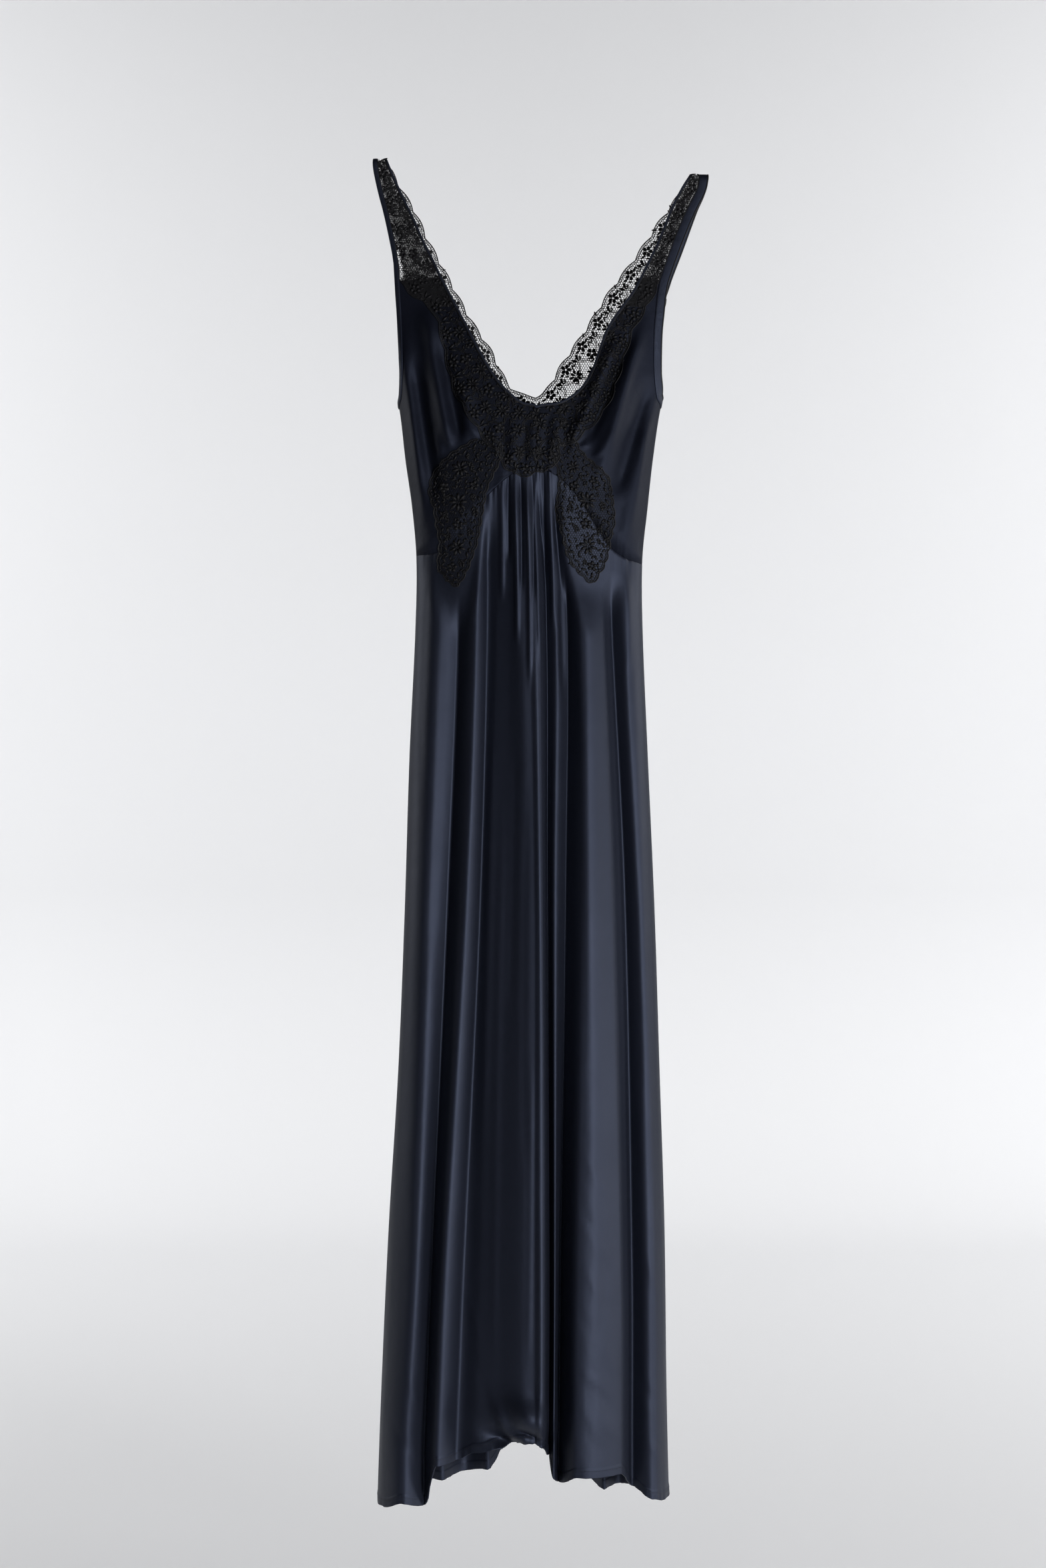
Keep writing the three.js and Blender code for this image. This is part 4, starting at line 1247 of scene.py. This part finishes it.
# A hexagonal net, a little uneven, cut to an outline
def netLines(outline, pitch):
    low, high = outline.min(0) - pitch, outline.max(0) + pitch
    side = pitch / math.sqrt(3)
    rows = int((high[1] - low[1]) / (1.5 * side)) + 2
    columns = int((high[0] - low[0]) / pitch) + 2
    j, i = np.meshgrid(np.arange(rows), np.arange(-1, columns), indexing="ij")
    x = low[0] + i * pitch + (j % 2) * pitch / 2
    z = low[1] + j * 1.5 * side
    upper = np.stack([x, z + side], -1)
    lower = np.stack([x, z], -1)
    points = np.stack([lower, upper], 2).reshape(-1, 2)
    (wide, long, small, short), (widePull, longPull, smallPull, shortPull) = netWaver
    sway = wide * np.sin(points[:, 1] / long)
    points[:, 0] += sway + small * np.sin(points[:, 1] / short + points[:, 0] / 5)
    pull = widePull * np.sin(points[:, 0] / longPull)
    points[:, 1] += pull + smallPull * np.sin(points[:, 0] / shortPull)
    width = columns + 1
    lowerAt = lambda jj, ii: (jj * width + ii) * 2
    jj, ii = np.meshgrid(np.arange(1, rows), np.arange(1, width - 1), indexing="ij")
    odd = jj % 2
    lines = [
        np.stack([lowerAt(jj, ii), lowerAt(jj, ii) + 1], -1),
        np.stack([lowerAt(jj, ii), lowerAt(jj - 1, ii + odd) + 1], -1),
        np.stack([lowerAt(jj, ii), lowerAt(jj - 1, ii - 1 + odd) + 1], -1),
    ]
    lines = np.concatenate([line.reshape(-1, 2) for line in lines])
    held = inside(outline, points)
    lines = lines[held[lines[:, 0]] & held[lines[:, 1]]]
    used, fresh = np.unique(lines, return_inverse=True)
    return points[used], fresh.reshape(-1, 2)


# Each motif in millimetres: its petals' reach, length and width, their point, and its ring
motifMake = {
    "flower": {"petals": 5, "petal": (2.9, 3.7, 3.3), "ring": 1.15},
    "daisy": {"reaches": (4.2, 4.9), "petal": (6.2, 2.9), "point": 0.35, "ring": 1.0},
    "spray": {"bow": 1.4, "lean": 0.75, "leaf": (2.6, 5.2, 2.0), "tip": (5.0, 2.2), "point": 0.8},
}


# Cords, edge cords and filled petals, drawn flat before they are laid on the cloth
class Chart:
    def __init__(self, frame, outline):
        self.frame, self.outline = frame, outline
        self.cords, self.edges, self.close, self.pads, self.taken = [], [], [], [], []

    # A thread along some points, cut where it would leave the lace
    def cord(self, points, heavy=False, close=False):
        points = np.asarray(points, float)
        held = inside(self.outline, points) | heavy
        if close:
            held &= (points[:, 1] > laceMake["strapEnd"]) & ~inside(strapSlit, points)
        turns = np.flatnonzero(np.diff(held)) + 1
        runs = self.close if close else self.edges if heavy else self.cords
        for run, kept in zip(np.split(points, turns), held[np.r_[0, turns]]):
            if kept and len(run) > 1:
                runs.append(run)

    # Threads laid close in two slanting ways, where the lace is nearly solid
    def closeWork(self):
        low, high = self.outline.min(0), self.outline.max(0)
        low = np.array([low[0], max(low[1], laceMake["strapEnd"])])
        wide, tall = high - low
        for slant in (-1, 1):
            for start in np.arange(-tall, wide + tall, laceMake["closeSpacing"] * math.sqrt(2)):
                z = np.arange(low[1], high[1], laceMake["closeStep"])
                foot = low[0] + start
                self.cord(np.stack([foot + slant * (z - low[1]), z], -1), close=True)

    def pad(self, x, z, angle, length, width, pointed=0.0):
        self.pads.append((x, z, angle, length, width, pointed))

    def free(self, x, z, room):
        if any(math.hypot(x - ax, z - az) < room + other for ax, az, other in self.taken):
            return False
        self.taken.append((x, z, room))
        return True

    # A petal whose middle stands off a point in its own direction
    def petal(self, x, z, angle, reach, length, width, pointed=0.0):
        x, z = x + reach * math.cos(angle), z + reach * math.sin(angle)
        self.pad(x, z, angle, length, width, pointed)

    def ring(self, x, z, radius):
        turn = np.linspace(0, math.tau, 9)
        self.cord(np.stack([x + radius * np.cos(turn), z + radius * np.sin(turn)], -1))

    # Round petals about a ring
    def flower(self, x, z, turn, size=1.0):
        make = motifMake["flower"]
        for k in range(make["petals"]):
            angle = turn + k * math.tau / make["petals"]
            self.petal(x, z, angle, *(size * part for part in make["petal"]))
        self.ring(x, z, make["ring"] * size)

    # Long petals standing open on the net, every other one a little longer
    def daisy(self, x, z, turn, size=1.0, petals=8):
        make = motifMake["daisy"]
        for k in range(petals):
            reach = make["reaches"][k % 2] * size
            length, width = (size * part for part in make["petal"])
            self.petal(x, z, turn + k * math.tau / petals, reach, length, width, make["point"])
        self.ring(x, z, make["ring"] * size)

    # A bowed stem with leaves on both sides and one at its tip
    def spray(self, x, z, angle, length=11.0, leaves=3, size=1.0):
        make = motifMake["spray"]
        way = np.linspace(0, 1, 9)
        off = make["bow"] * np.sin(way * math.pi)
        stemX = x + way * length * math.cos(angle) - off * math.sin(angle)
        stemZ = z + way * length * math.sin(angle) + off * math.cos(angle)
        self.cord(np.stack([stemX, stemZ], -1))
        leaf = [size * part for part in make["leaf"]]
        for k in range(leaves):
            at = int((k + 1) * 8 / (leaves + 0.5))
            for side in (-1, 1):
                self.petal(stemX[at], stemZ[at], angle + side * make["lean"], *leaf, make["point"])
        tip = (size * part for part in make["tip"])
        self.pad(stemX[-1], stemZ[-1], angle, *tip, make["point"])

    # Two cords side by side
    def band(self, points, apart=1.3):
        points = np.asarray(points, float)
        along = np.gradient(points, axis=0)
        along /= np.linalg.norm(along, axis=1, keepdims=True) + 1e-9
        aside = np.stack([-along[:, 1], along[:, 0]], -1) * apart / 2
        self.cord(points + aside)
        self.cord(points - aside)
        for k in range(1, len(points) - 1, 2):
            self.cord(np.array([points[k] + aside[k], points[k] - aside[k]]))


# A scalloped border of two cords with bars between them
def border(chart, wave, start, end):
    s = np.arange(start, end, 1.0)
    w = wave(s)
    chart.cord(chart.frame.at(s, w), heavy=True)
    chart.cord(chart.frame.at(s, w + laceMake["borderWidth"]), heavy=False)
    for k in np.arange(start, end, laceMake["barSpacing"]):
        at = np.array([k, k])
        chart.cord(chart.frame.at(at, wave(at) + np.array([0.1, laceMake["borderWidth"]])))


# Where the motifs of one repeat stand, along the edge and inward from it
repeatMake = {
    # along, inward, lean, length, width and point of the leaves beside a crest's flower
    "crestLeaves": ((7.2, 4.4, 0.35, 6.4, 2.5, 0.7), (5.4, 9.2, 0.9, 5.2, 2.2, 0.8)),
    "crestIn": 4.6,
    "crestRoom": 4,
    "dipAlong": 2.0,
    "dipIn": 7.0,
    "dipLean": 0.4,
    "dipLeaf": (8.0, 2.7, 0.7),
    "firstTier": 17.0,
    "tierStep": 12.5,
    "tierRoom": 5.5,
    "flowerSizes": (1.2, 1.25),
    "daisySize": 0.95,
    "spray": (9, 2, 0.85),
    "sprayAlong": 8.5,
    "sprayOut": 3,
    "sprayRoom": 1.5,
    "swingHalf": 13.5,
    "swingOut": 6.5,
    "swingRise": 9,
}


# The charted repeat: flowers on the crests, leaves in the dips, sprays and daisies further in
def repeats(chart, start, end, depth, shift=0.0):
    make = repeatMake
    step = laceMake["scallop"]["spacing"]
    put = lambda s, w: chart.frame.at(np.array([s]), np.array([w]))[0]
    for k in range(int(math.ceil((end - start) / step)) + 1):
        crest = start + (k + 0.5) * step + shift
        dip = start + k * step + shift
        if crest < end:
            x, z = put(crest, make["crestIn"])
            turn = chart.frame.angle(crest)
            if chart.free(x, z, make["crestRoom"]):
                chart.flower(x, z, turn + 1.57, make["flowerSizes"][0])
            for side in (-1, 1):
                for along, inn, lean, *leaf in make["crestLeaves"]:
                    x, z = put(crest + side * along, inn)
                    chart.pad(x, z, turn + side * lean, *leaf)
        if dip < end:
            for side in (-1, 1):
                x, z = put(dip + side * make["dipAlong"], make["dipIn"])
                turn = chart.frame.angle(dip) + 1.57 - side * make["dipLean"]
                chart.pad(x, z, turn, *make["dipLeaf"])
        tier = 0
        w = make["firstTier"]
        while w < depth:
            at = crest if tier % 2 == 0 else dip
            if at < end:
                x, z = put(at, w)
                turn = chart.frame.angle(at)
                if chart.free(x, z, make["tierRoom"]):
                    if (k + tier) % 3 == 0:
                        chart.flower(x, z, turn, make["flowerSizes"][1])
                    else:
                        chart.daisy(x, z, turn + 0.3 * k, make["daisySize"])
                for side, lean in ((-1, 1.9), (1, 1.2)):
                    x, z = put(at + side * make["sprayAlong"], w - make["sprayOut"])
                    if chart.free(x, z, make["sprayRoom"]):
                        chart.spray(x, z, turn + lean, *make["spray"])
            arc = np.linspace(-1, 1, 15)
            swingIn = w - make["swingOut"] + make["swingRise"] * (1 - arc**2) ** 0.75
            if tier == 0 or (k + tier) % 2:
                chart.band(chart.frame.at(at + arc * make["swingHalf"], swingIn))
            w += make["tierStep"]
            tier += 1


# Small leaves wherever the net is still bare, at a fixed seed
def leafFilling(chart, spacing, seed, room):
    low, high = chart.outline.min(0), chart.outline.max(0)
    chance = np.random.default_rng(seed)
    placed = np.array([pad[:2] for pad in chart.pads])
    for z in np.arange(low[1], high[1], spacing):
        for x in np.arange(low[0], high[0], spacing):
            px, pz = np.array([x, z]) + chance.uniform(-0.3, 0.3, 2) * spacing
            turn, size = chance.uniform(0, math.tau), chance.uniform(0.8, 1.15)
            if np.min(np.hypot(placed[:, 0] - px, placed[:, 1] - pz)) > room:
                for side in (-1, 1):
                    chart.petal(px, pz, turn + side * 0.7, 2.2, 4.8 * size, 2.1 * size, 0.75)


# Petals as low closed lenses lying on the cloth
def padMesh(name, chart, half):
    lift = laceMake["lift"] + laceMake["padLift"]
    pads = np.array(chart.pads)
    pads = pads[inside(chart.outline, pads) & ~inside(strapSlit, pads)]
    count, around = len(pads), laceMake["padSides"]
    turn = np.arange(around) / around * math.tau
    long = pads[:, 3, None] / 2 * np.cos(turn)
    taper = pads[:, 5, None] * np.cos(turn) ** 2 * laceMake["padTaper"]
    wide = pads[:, 4, None] / 2 * np.sin(turn) * (1 - taper)
    cos, sin = np.cos(pads[:, 2, None]), np.sin(pads[:, 2, None])
    x = pads[:, 0, None] + long * cos - wide * sin
    z = pads[:, 1, None] + long * sin + wide * cos
    rim, _ = spots(half, x, z, lift)
    crown, out = spots(half, pads[:, 0], pads[:, 1], lift)
    top = crown + out * laceMake["padRise"]
    foot = crown - out * laceMake["padRise"] * laceMake["padFoot"]
    points = np.concatenate([rim.reshape(-1, 3), top, foot])
    base = np.arange(count)[:, None] * around
    this, after = base + np.arange(around), base + (np.arange(around) + 1) % around
    peak = count * around + np.arange(count)[:, None] + np.zeros_like(this)
    upper = np.stack([this, after, peak], -1).reshape(-1, 3)
    lower = np.stack([after, this, peak + count], -1).reshape(-1, 3)
    if half["side"] > 0:
        upper, lower = upper[:, ::-1], lower[:, ::-1]
    return meshFrom(name, points, np.concatenate([upper, lower]).tolist())


# Threads along some runs of points; the name picks their lift and radius
def linesMesh(name, runs, half, sides):
    lift = laceMake["lift"] + laceMake[name + "Lift"]
    radius = laceMake[name + "Radius"]
    count, points, edges = 0, [], []
    for run in runs:
        points.append(run)
        edges += chain(len(run), count)
        count += len(run)
    flat = np.concatenate(points)
    placed, _ = spots(half, flat[:, 0], flat[:, 1], lift)
    return grown(name, placed, edges, threads, Radius=radius / 1000, Sides=sides, Material=lace)


# One piece of lace: net, cords, edge cords, petals and close work joined
def laceFrom(name, chart, half, node, area, room, netRadius):
    leafFilling(chart, laceMake["leafSpacing"], laceMake["leafSeed"], room)
    points, edges = netLines(chart.outline, laceMake["pitch"])
    placed, _ = spots(half, points[:, 0], points[:, 1], laceMake["lift"])
    radius = laceMake[netRadius] / 1000
    parts = [
        grown("net", placed, edges.tolist(), threads, Radius=radius, Sides=3, Material=lace),
        linesMesh("cord", chart.cords, half, 3),
        linesMesh("edge", chart.edges, half, 4),
        padMesh("pads", chart, half),
    ]
    if chart.close:
        parts.append(linesMesh("close", chart.close, half, 3))
    piece = joined(name, parts, lace)
    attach(piece, "root")
    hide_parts(node)
    cloth = sum(face.area for face in piece.data.polygons) / 2
    share = f"{cloth / area:.2f} of its cut"
    print(name, len(piece.data.polygons), "faces", len(chart.pads), "petals", share)


def stacked(*columns):
    return np.stack([np.concatenate(column) for column in columns], -1)


# Outer and inner edge of a front lace, and how far its edge runs free along the strap
def bandPaths(strap, cup, tail, side):
    strap = finer(strap)
    cup = finer({name: values[: laceEndRow + 1] for name, values in cup.items()})
    centre = hang["centreFront"] - side * laceMake["overlap"]
    xIn = np.where(cup["zIn"] <= hang["necklineFoot"], centre, cup["xIn"])
    outer = stacked((strap["xOut"], cup["xLace"]), (strap["zOut"], cup["zLace"]))
    inner = stacked((strap["xIn"], xIn), (strap["zIn"], cup["zIn"]))
    strapEdge = stacked((strap["xOut"],), (strap["zOut"],))
    free = np.linalg.norm(np.diff(strapEdge, axis=0), axis=1).sum()
    return np.concatenate([outer, tail]), inner, free + laceMake["belowStrap"]


# A chart with a scalloped and bordered free edge, calmed towards both ends
def scallopedChart(guide, start, size, *rest):
    def wave(s):
        calm = smooth((s - start) / size["fade"]) * smooth((guide.length - s) / size["fade"])
        return -size["depth"] * np.abs(np.sin(math.pi * (s - start) / size["spacing"])) * calm

    chart = Chart(guide, np.concatenate([guide.at(guide.s, wave(guide.s)), *rest]))
    border(chart, wave, start, guide.length)
    return chart


# Neck lace, strap and half of the yoke in one chart
def frontLace(name, node, strap, cup, tail, inward, area):
    outer, inner, start = bandPaths(strap, cup, tail, -inward)
    guide = EdgeFrame(outer, inward)
    chart = scallopedChart(guide, start, laceMake["scallop"], inner[::-1])
    onStrap = guide.s[guide.s < start]
    chart.cord(guide.at(onStrap, np.full(len(onStrap), 0.2)), heavy=True)
    chart.cord(inner[inner[:, 1] > hang["necklineFoot"] + 0.5], heavy=True)
    repeats(chart, start, guide.length, 66)
    repeats(chart, 0, start - 4, 30, 3.0)
    chart.closeWork()
    laceFrom(name, chart, front, node, area, laceMake["leafRoom"], "yokeNetRadius")


# A lace point under the bust, its motifs placed one by one and leaves along its edge
def pointLace(name, node, table, inward, area, motifs):
    rows = finer(table)
    down = np.stack([rows["out"], rows["z"]], -1)
    up = np.stack([rows["inn"], rows["z"]], -1)[::-1]
    guide = EdgeFrame(np.concatenate([down, up]), inward, softness=4)
    chart = scallopedChart(guide, 0, laceMake["smallScallop"])
    small = laceMake["smallScallop"]["spacing"]
    for kind, x, z, turn, size in motifs:
        if kind == "flower":
            chart.flower(x, z, turn, size)
        elif kind == "daisy":
            chart.daisy(x, z, turn, size)
        else:
            chart.spray(x, z, turn, 10 * size, 3, size)
    for k in np.arange(small / 2, guide.length, small):
        x, z = guide.at(np.array([k]), np.array([5.2]))[0]
        if chart.free(x, z, 2.2):
            chart.pad(x, z, guide.angle(k) + 0.5, 6.2, 2.6, 0.6)
        x, z = guide.at(np.array([k + small / 2]), np.array([4.6]))[0]
        chart.pad(x, z, guide.angle(k) - 0.6, 5.0, 2.2, 0.8)
    laceFrom(name, chart, front, node, area, laceMake["leafRoom"], "netRadius")


# Where the lower edge of each yoke half runs in under the other
leftTail = [(-34, -312), (-26, -317.5), (-14, -319.5), (-6, -317), (-1.6, -316)]
rightTail = [(17, -303), (11, -312), (4, -316), (-4.4, -317)]
frontLace(
    "laceFrontLeft", "lace_front_left", strapLeft, cupLeft, leftTail, 1, 0.0118
)
frontLace(
    "laceFrontRight", "lace_front_right", strapRight, cupRight, rightTail, -1, 0.0084
)
# Kind, place, turn and size of each motif on the points
leftMotifs = [
    ("daisy", -80, -313, 0.3, 1.1),
    ("flower", -96, -331, 0.8, 1.2),
    ("flower", -66, -330, 0.1, 1.1),
    ("daisy", -82, -346, 0.0, 1.25),
    ("spray", -94, -352, -1.9, 1.0),
    ("spray", -68, -349, -1.3, 1.0),
    ("flower", -82, -369, 0.4, 1.2),
    ("spray", -92, -374, -1.7, 0.9),
    ("spray", -72, -371, -1.4, 0.8),
    ("daisy", -83, -391, 0.5, 1.1),
    ("flower", -88, -411, 0.2, 1.1),
    ("spray", -82, -402, -1.2, 0.8),
]
rightMotifs = [
    ("daisy", 33, -312, 0.3, 0.9),
    ("flower", 54, -325, 0.8, 1.1),
    ("flower", 34, -331, 0.1, 1.2),
    ("daisy", 47, -345, 0.0, 1.25),
    ("spray", 60, -344, -1.3, 1.0),
    ("spray", 30, -346, -1.7, 1.0),
    ("flower", 46, -368, 0.4, 1.3),
    ("spray", 58, -369, -1.5, 0.9),
    ("spray", 34, -368, -1.3, 0.8),
    ("daisy", 48, -390, 0.5, 1.15),
    ("flower", 52, -410, 0.2, 1.1),
    ("spray", 44, -402, -1.6, 0.7),
]
pointLace("lacePointLeft", "lace_point_left", pointLeft, 1, 0.0058, leftMotifs)
pointLace("lacePointRight", "lace_point_right", pointRight, -1, 0.0056, rightMotifs)


# Lace of the back neck with the back halves of the straps
def backLace():
    rows = finer(laceBack)
    inner = np.stack([rows["xIn"], rows["zIn"]], -1)
    outer = np.stack([rows["xOut"], rows["zOut"]], -1)
    guide = EdgeFrame(inner, -1)
    chart = scallopedChart(guide, 0, laceMake["scallop"], outer[::-1])
    chart.cord(outer, heavy=True)
    repeats(chart, 0, guide.length, 64)
    room = laceMake["backLeafRoom"]
    laceFrom("laceBack", chart, back, "lace_back", 0.0285, room, "backNetRadius")


backLace()
print("lace made")


# Bindings
bindings = {
    "neck": {"width": 2.4, "thickness": 1.7, "lift": 0.5, "edgeCord": 0},
    "left": {"width": 4.6, "thickness": 1.7, "lift": 0.5, "edgeCord": 0},
    "right": {"width": 8.4, "thickness": 1.5, "lift": 0.5, "edgeCord": 0.9},
    "overlap": 0.5,
    "sides": 12,
    "squareness": 0.55,
    "step": 2.2,
    "stitchInset": 0.9,
}


# One even path on the cloth through several stretches of edge
def spotPath(parts):
    places = [spots(half, x, z) for half, x, z in parts]
    points = np.concatenate([p for p, _ in places])
    outs = np.concatenate([o for _, o in places])
    apart = np.concatenate([[True], np.linalg.norm(np.diff(points, axis=0), axis=1) > 0.05])
    points, outs = points[apart], outs[apart]
    _, both = evenPath(np.hstack([points, outs * 0.001]), bindings["step"])
    outs = both[:, 3:] / np.linalg.norm(both[:, 3:], axis=1, keepdims=True)
    return both[:, :3], outs


# A flattened tube along an edge, sewn down, with a dark cord at its rim where it has one; the cord
# is partly dark thread and partly painted shade along that edge
def bindingPiece(name, node, parts, side, size):
    points, outs = spotPath(parts)
    along = np.gradient(points, axis=0)
    away = np.cross(along, outs)
    away *= side / np.linalg.norm(away, axis=1, keepdims=True)
    turn = np.arange(bindings["sides"]) / bindings["sides"] * math.tau
    boxed = lambda v: np.sign(v) * np.abs(v) ** bindings["squareness"]
    middle = (size["width"] - bindings["overlap"]) / 2
    reach = (size["width"] + bindings["overlap"]) / 2
    over = middle + reach * boxed(np.cos(turn))
    up = size["lift"] + size["thickness"] / 2 * boxed(np.sin(turn))
    ring = points[:, None] + away[:, None] * over[:, None] + outs[:, None] * up[:, None]
    rows, around = ring.shape[:2]
    index = np.arange(rows * around).reshape(rows, around)
    after = np.roll(index, -1, axis=1)
    faces = np.stack([index[:-1], after[:-1], after[1:], index[1:]], -1).reshape(-1, 4)
    centre = ring.mean(1)
    firstFace = ring[0, 0] + ring[0, 1] + ring[1, 0] + ring[1, 1]
    normal = np.cross(ring[0, 1] - ring[0, 0], ring[1, 0] - ring[0, 0])
    flip = np.dot(normal, firstFace / 4 - (centre[0] + centre[1]) / 2) < 0
    faces = faces[:, ::-1] if flip else faces
    caps = [index[0][::-1].tolist(), index[-1].tolist()]
    caps = [cap[::-1] for cap in caps] if flip else caps
    gone = travelled(points)
    girth = np.arange(1.0, around + 1)
    uv = np.stack(np.broadcast_arrays(gone[:, None], girth[None]), -1).reshape(-1, 2)
    mesh = meshFrom(name, ring.reshape(-1, 3), faces.tolist() + caps, uv=uv)
    piece = addObject(name, mesh, tape)
    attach(piece, "root")
    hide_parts(node)
    inset = bindings["stitchInset"] if size["edgeCord"] else middle * 0.6
    line = points + away * inset
    line = line + outs * (size["lift"] + size["thickness"] / 2 + stitchSizes["standOff"])
    stitchRow(name + "Stitches", line, stitchSizes["binding"])
    if size["edgeCord"]:
        # the dark cord at the rim stands partly for dark thread and partly for painted shade along
        # the armhole edge
        rim = points + away * size["width"] + outs * size["lift"]
        sizes = {"Radius": size["edgeCord"] / 1000, "Sides": 8, "Material": thread}
        pipingAndEdgeShade = grown("pipingAndEdgeShade", rim, chain(rows), threads, **sizes)
        pipingAndEdgeShade = joined(name + "Edge", [pipingAndEdgeShade], thread)
        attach(pipingAndEdgeShade, "root")


# The stretches of edge round an armhole, from the strap's loop and back up to it
def armholeParts(strap, cup, side):
    fineStrap, fineBack = finer(strap), finer(laceBack)
    x, z = cup
    rows = underarmRow * bodiceMake["rowParts"] + 1
    edgeX, edgeZ = backSatin[0][0], backSatin[1][0]
    laceX, laceZ = fineBack["xOut"], fineBack["zOut"]
    if side > 0:
        edgeX, edgeZ, laceX, laceZ = edgeX[::-1], edgeZ[::-1], laceX[::-1], laceZ[::-1]
    corner = backCornerColumn * bodiceMake["backParts"] + 1
    loop = backCornerRow * edgeParts
    return [
        (front, fineStrap["xOut"], fineStrap["zOut"]),
        (front, x[:rows, -1], z[:rows, -1]),
        (back, edgeX[1:corner], edgeZ[1:corner]),
        (back, laceX[:loop][::-1], laceZ[:loop][::-1]),
    ]


# Both front neck edges, down one side and up the other
def neckParts():
    rows = necklineFootRow * bodiceMake["rowParts"] + 1
    parts = []
    for strap, (x, z) in ((strapLeft, leftCup), (strapRight, rightCup)):
        fineStrap = finer(strap)
        xs = np.concatenate([fineStrap["xIn"], x[:rows, 0]])
        zs = np.concatenate([fineStrap["zIn"], z[:rows, 0]])
        parts.append((xs, zs))
    left, right = parts
    return [(front, *left), (front, *(values[:-1][::-1] for values in right))]


leftParts = armholeParts(strapLeft, leftCup, -1)
rightParts = armholeParts(strapRight, rightCup, 1)
bindingPiece("neckBinding", "neck_binding", neckParts(), -1, bindings["neck"])
bindingPiece("armholeBindingLeft", "armhole_binding_left", leftParts, 1, bindings["left"])
bindingPiece("armholeBindingRight", "armhole_binding_right", rightParts, -1, bindings["right"])
print("bindings made")

# Stage, light and camera
stageLook = {
    "floor": -1.62,
    "wall": 3.8,
    "round": 1.2,
    "roundParts": 16,
    "top": 4.0,
    "half": 1.9,
    "front": -3.6,
    "floorColour": (0.9, 0.905, 0.92),
    "wallColour": (0.74, 0.745, 0.76),
    "wallColourFrom": -0.9,
    "grain": 3.0,
    "roughs": (0.85, 0.95),
}
sweep = [(stageLook["front"], stageLook["floor"])]
for k in range(stageLook["roundParts"] + 1):
    a = k / stageLook["roundParts"] * math.pi / 2
    y = stageLook["wall"] - stageLook["round"] * (1 - math.sin(a))
    sweep.append((y, stageLook["floor"] + stageLook["round"] * (1 - math.cos(a))))
sweep.append((stageLook["wall"], stageLook["top"]))
ends = (-stageLook["half"], stageLook["half"])
stagePoints = [(x * 1000, y * 1000, z * 1000) for y, z in sweep for x in ends]
stageFaces = [(2 * k, 2 * k + 1, 2 * k + 3, 2 * k + 2) for k in range(len(sweep) - 1)]
paper, paperTree, paperShader = newMaterial("paper", stageLook["wallColour"], 0.9)
grain = addNode(paperTree, "TexNoise", Scale=stageLook["grain"], Detail=2.0)
paperPlace = addNode(paperTree, "TexCoord")
paperAxes = addNode(paperTree, "SeparateXYZ")
low, high = stageLook["floor"], stageLook["wallColourFrom"]
height = addNode(paperTree, "MapRange", From_Min=low, From_Max=high)
joinUp(
    paperTree,
    (paperPlace, "Object", grain, "Vector"),
    (paperPlace, "Object", paperAxes, "Vector"),
    (paperAxes, "Z", height, "Value"),
)
shades = (stageLook["floorColour"], stageLook["wallColour"])
fields = (height.outputs["Result"], grain.outputs["Fac"])
vary(paperTree, paperShader, fields[0], shades, fields[1], stageLook["roughs"])
backdrop = addObject("backdrop", meshFrom("backdrop", stagePoints, stageFaces), paper)
backdrop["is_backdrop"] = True

# The air is pale where the camera sees it and dim as a light
airLook = {"colour": (0.93, 0.95, 1.0), "asLight": 0.025, "seen": 0.8}
world = bpy.data.worlds.new("studio")
bpy.context.scene.world = world
world.use_nodes = True
air = world.node_tree.nodes["Background"]
air.inputs["Color"].default_value = (*airLook["colour"], 1)
seenBy = addNode(world.node_tree, "LightPath")
seen = seenBy.outputs["Is Camera Ray"]
strength = mapRange(world.node_tree, seen, airLook["asLight"], airLook["seen"])
world.node_tree.links.new(strength, air.inputs["Strength"])


# An even rectangle of light turned to face a point
def softLight(name, place, aim, size, power):
    data = bpy.data.lights.new(name, "AREA")
    data.shape = "RECTANGLE"
    data.size, data.size_y = size
    data.energy = power
    lamp = bpy.data.objects.new(name, data)
    bpy.context.scene.collection.objects.link(lamp)
    lamp.location = place
    way = np.array(aim, float) - np.array(place, float)
    yaw = math.atan2(way[0], way[1])
    pitch = math.atan2(way[2], math.hypot(way[0], way[1]))
    lamp.rotation_euler = (math.pi / 2 + pitch, 0, -yaw)


# Place, aim, size and power of each light
lightMake = {
    "key": ((1.6, -2.8, -0.95), (0, 0, -1.0), (0.7, 1.2), 94),
    "rim": ((2.7, -0.75, -1.15), (0, 0, -1.05), (0.7, 1.0), 28),
    "backdropLeft": ((-3.3, 1.6, 0.5), (-0.1, 3.8, -1.2), (1.9, 3.2), 100),
    "backdropRight": ((3.3, 1.6, 0.5), (0.1, 3.8, -1.2), (1.9, 3.2), 100),
}
for name, light in lightMake.items():
    softLight(name, *light)

view = {"place": (-0.017, -2.4, -0.6287), "sensor": 36, "lens": 54.0}
camera = bpy.data.objects.new("camera", bpy.data.cameras.new("camera"))
bpy.context.scene.collection.objects.link(camera)
camera.location = view["place"]
camera.rotation_euler = (math.pi / 2, 0, 0)
camera.data.sensor_width = view["sensor"]
camera.data.lens = view["lens"]
bpy.context.scene.camera = camera
bpy.context.scene.view_settings.view_transform = "Standard"

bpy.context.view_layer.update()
meshes = [thing.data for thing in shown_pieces() if thing.type == "MESH"]
count = sum(len(face.vertices) - 2 for mesh in meshes for face in mesh.polygons)
print("stage and camera made", count, "triangles")
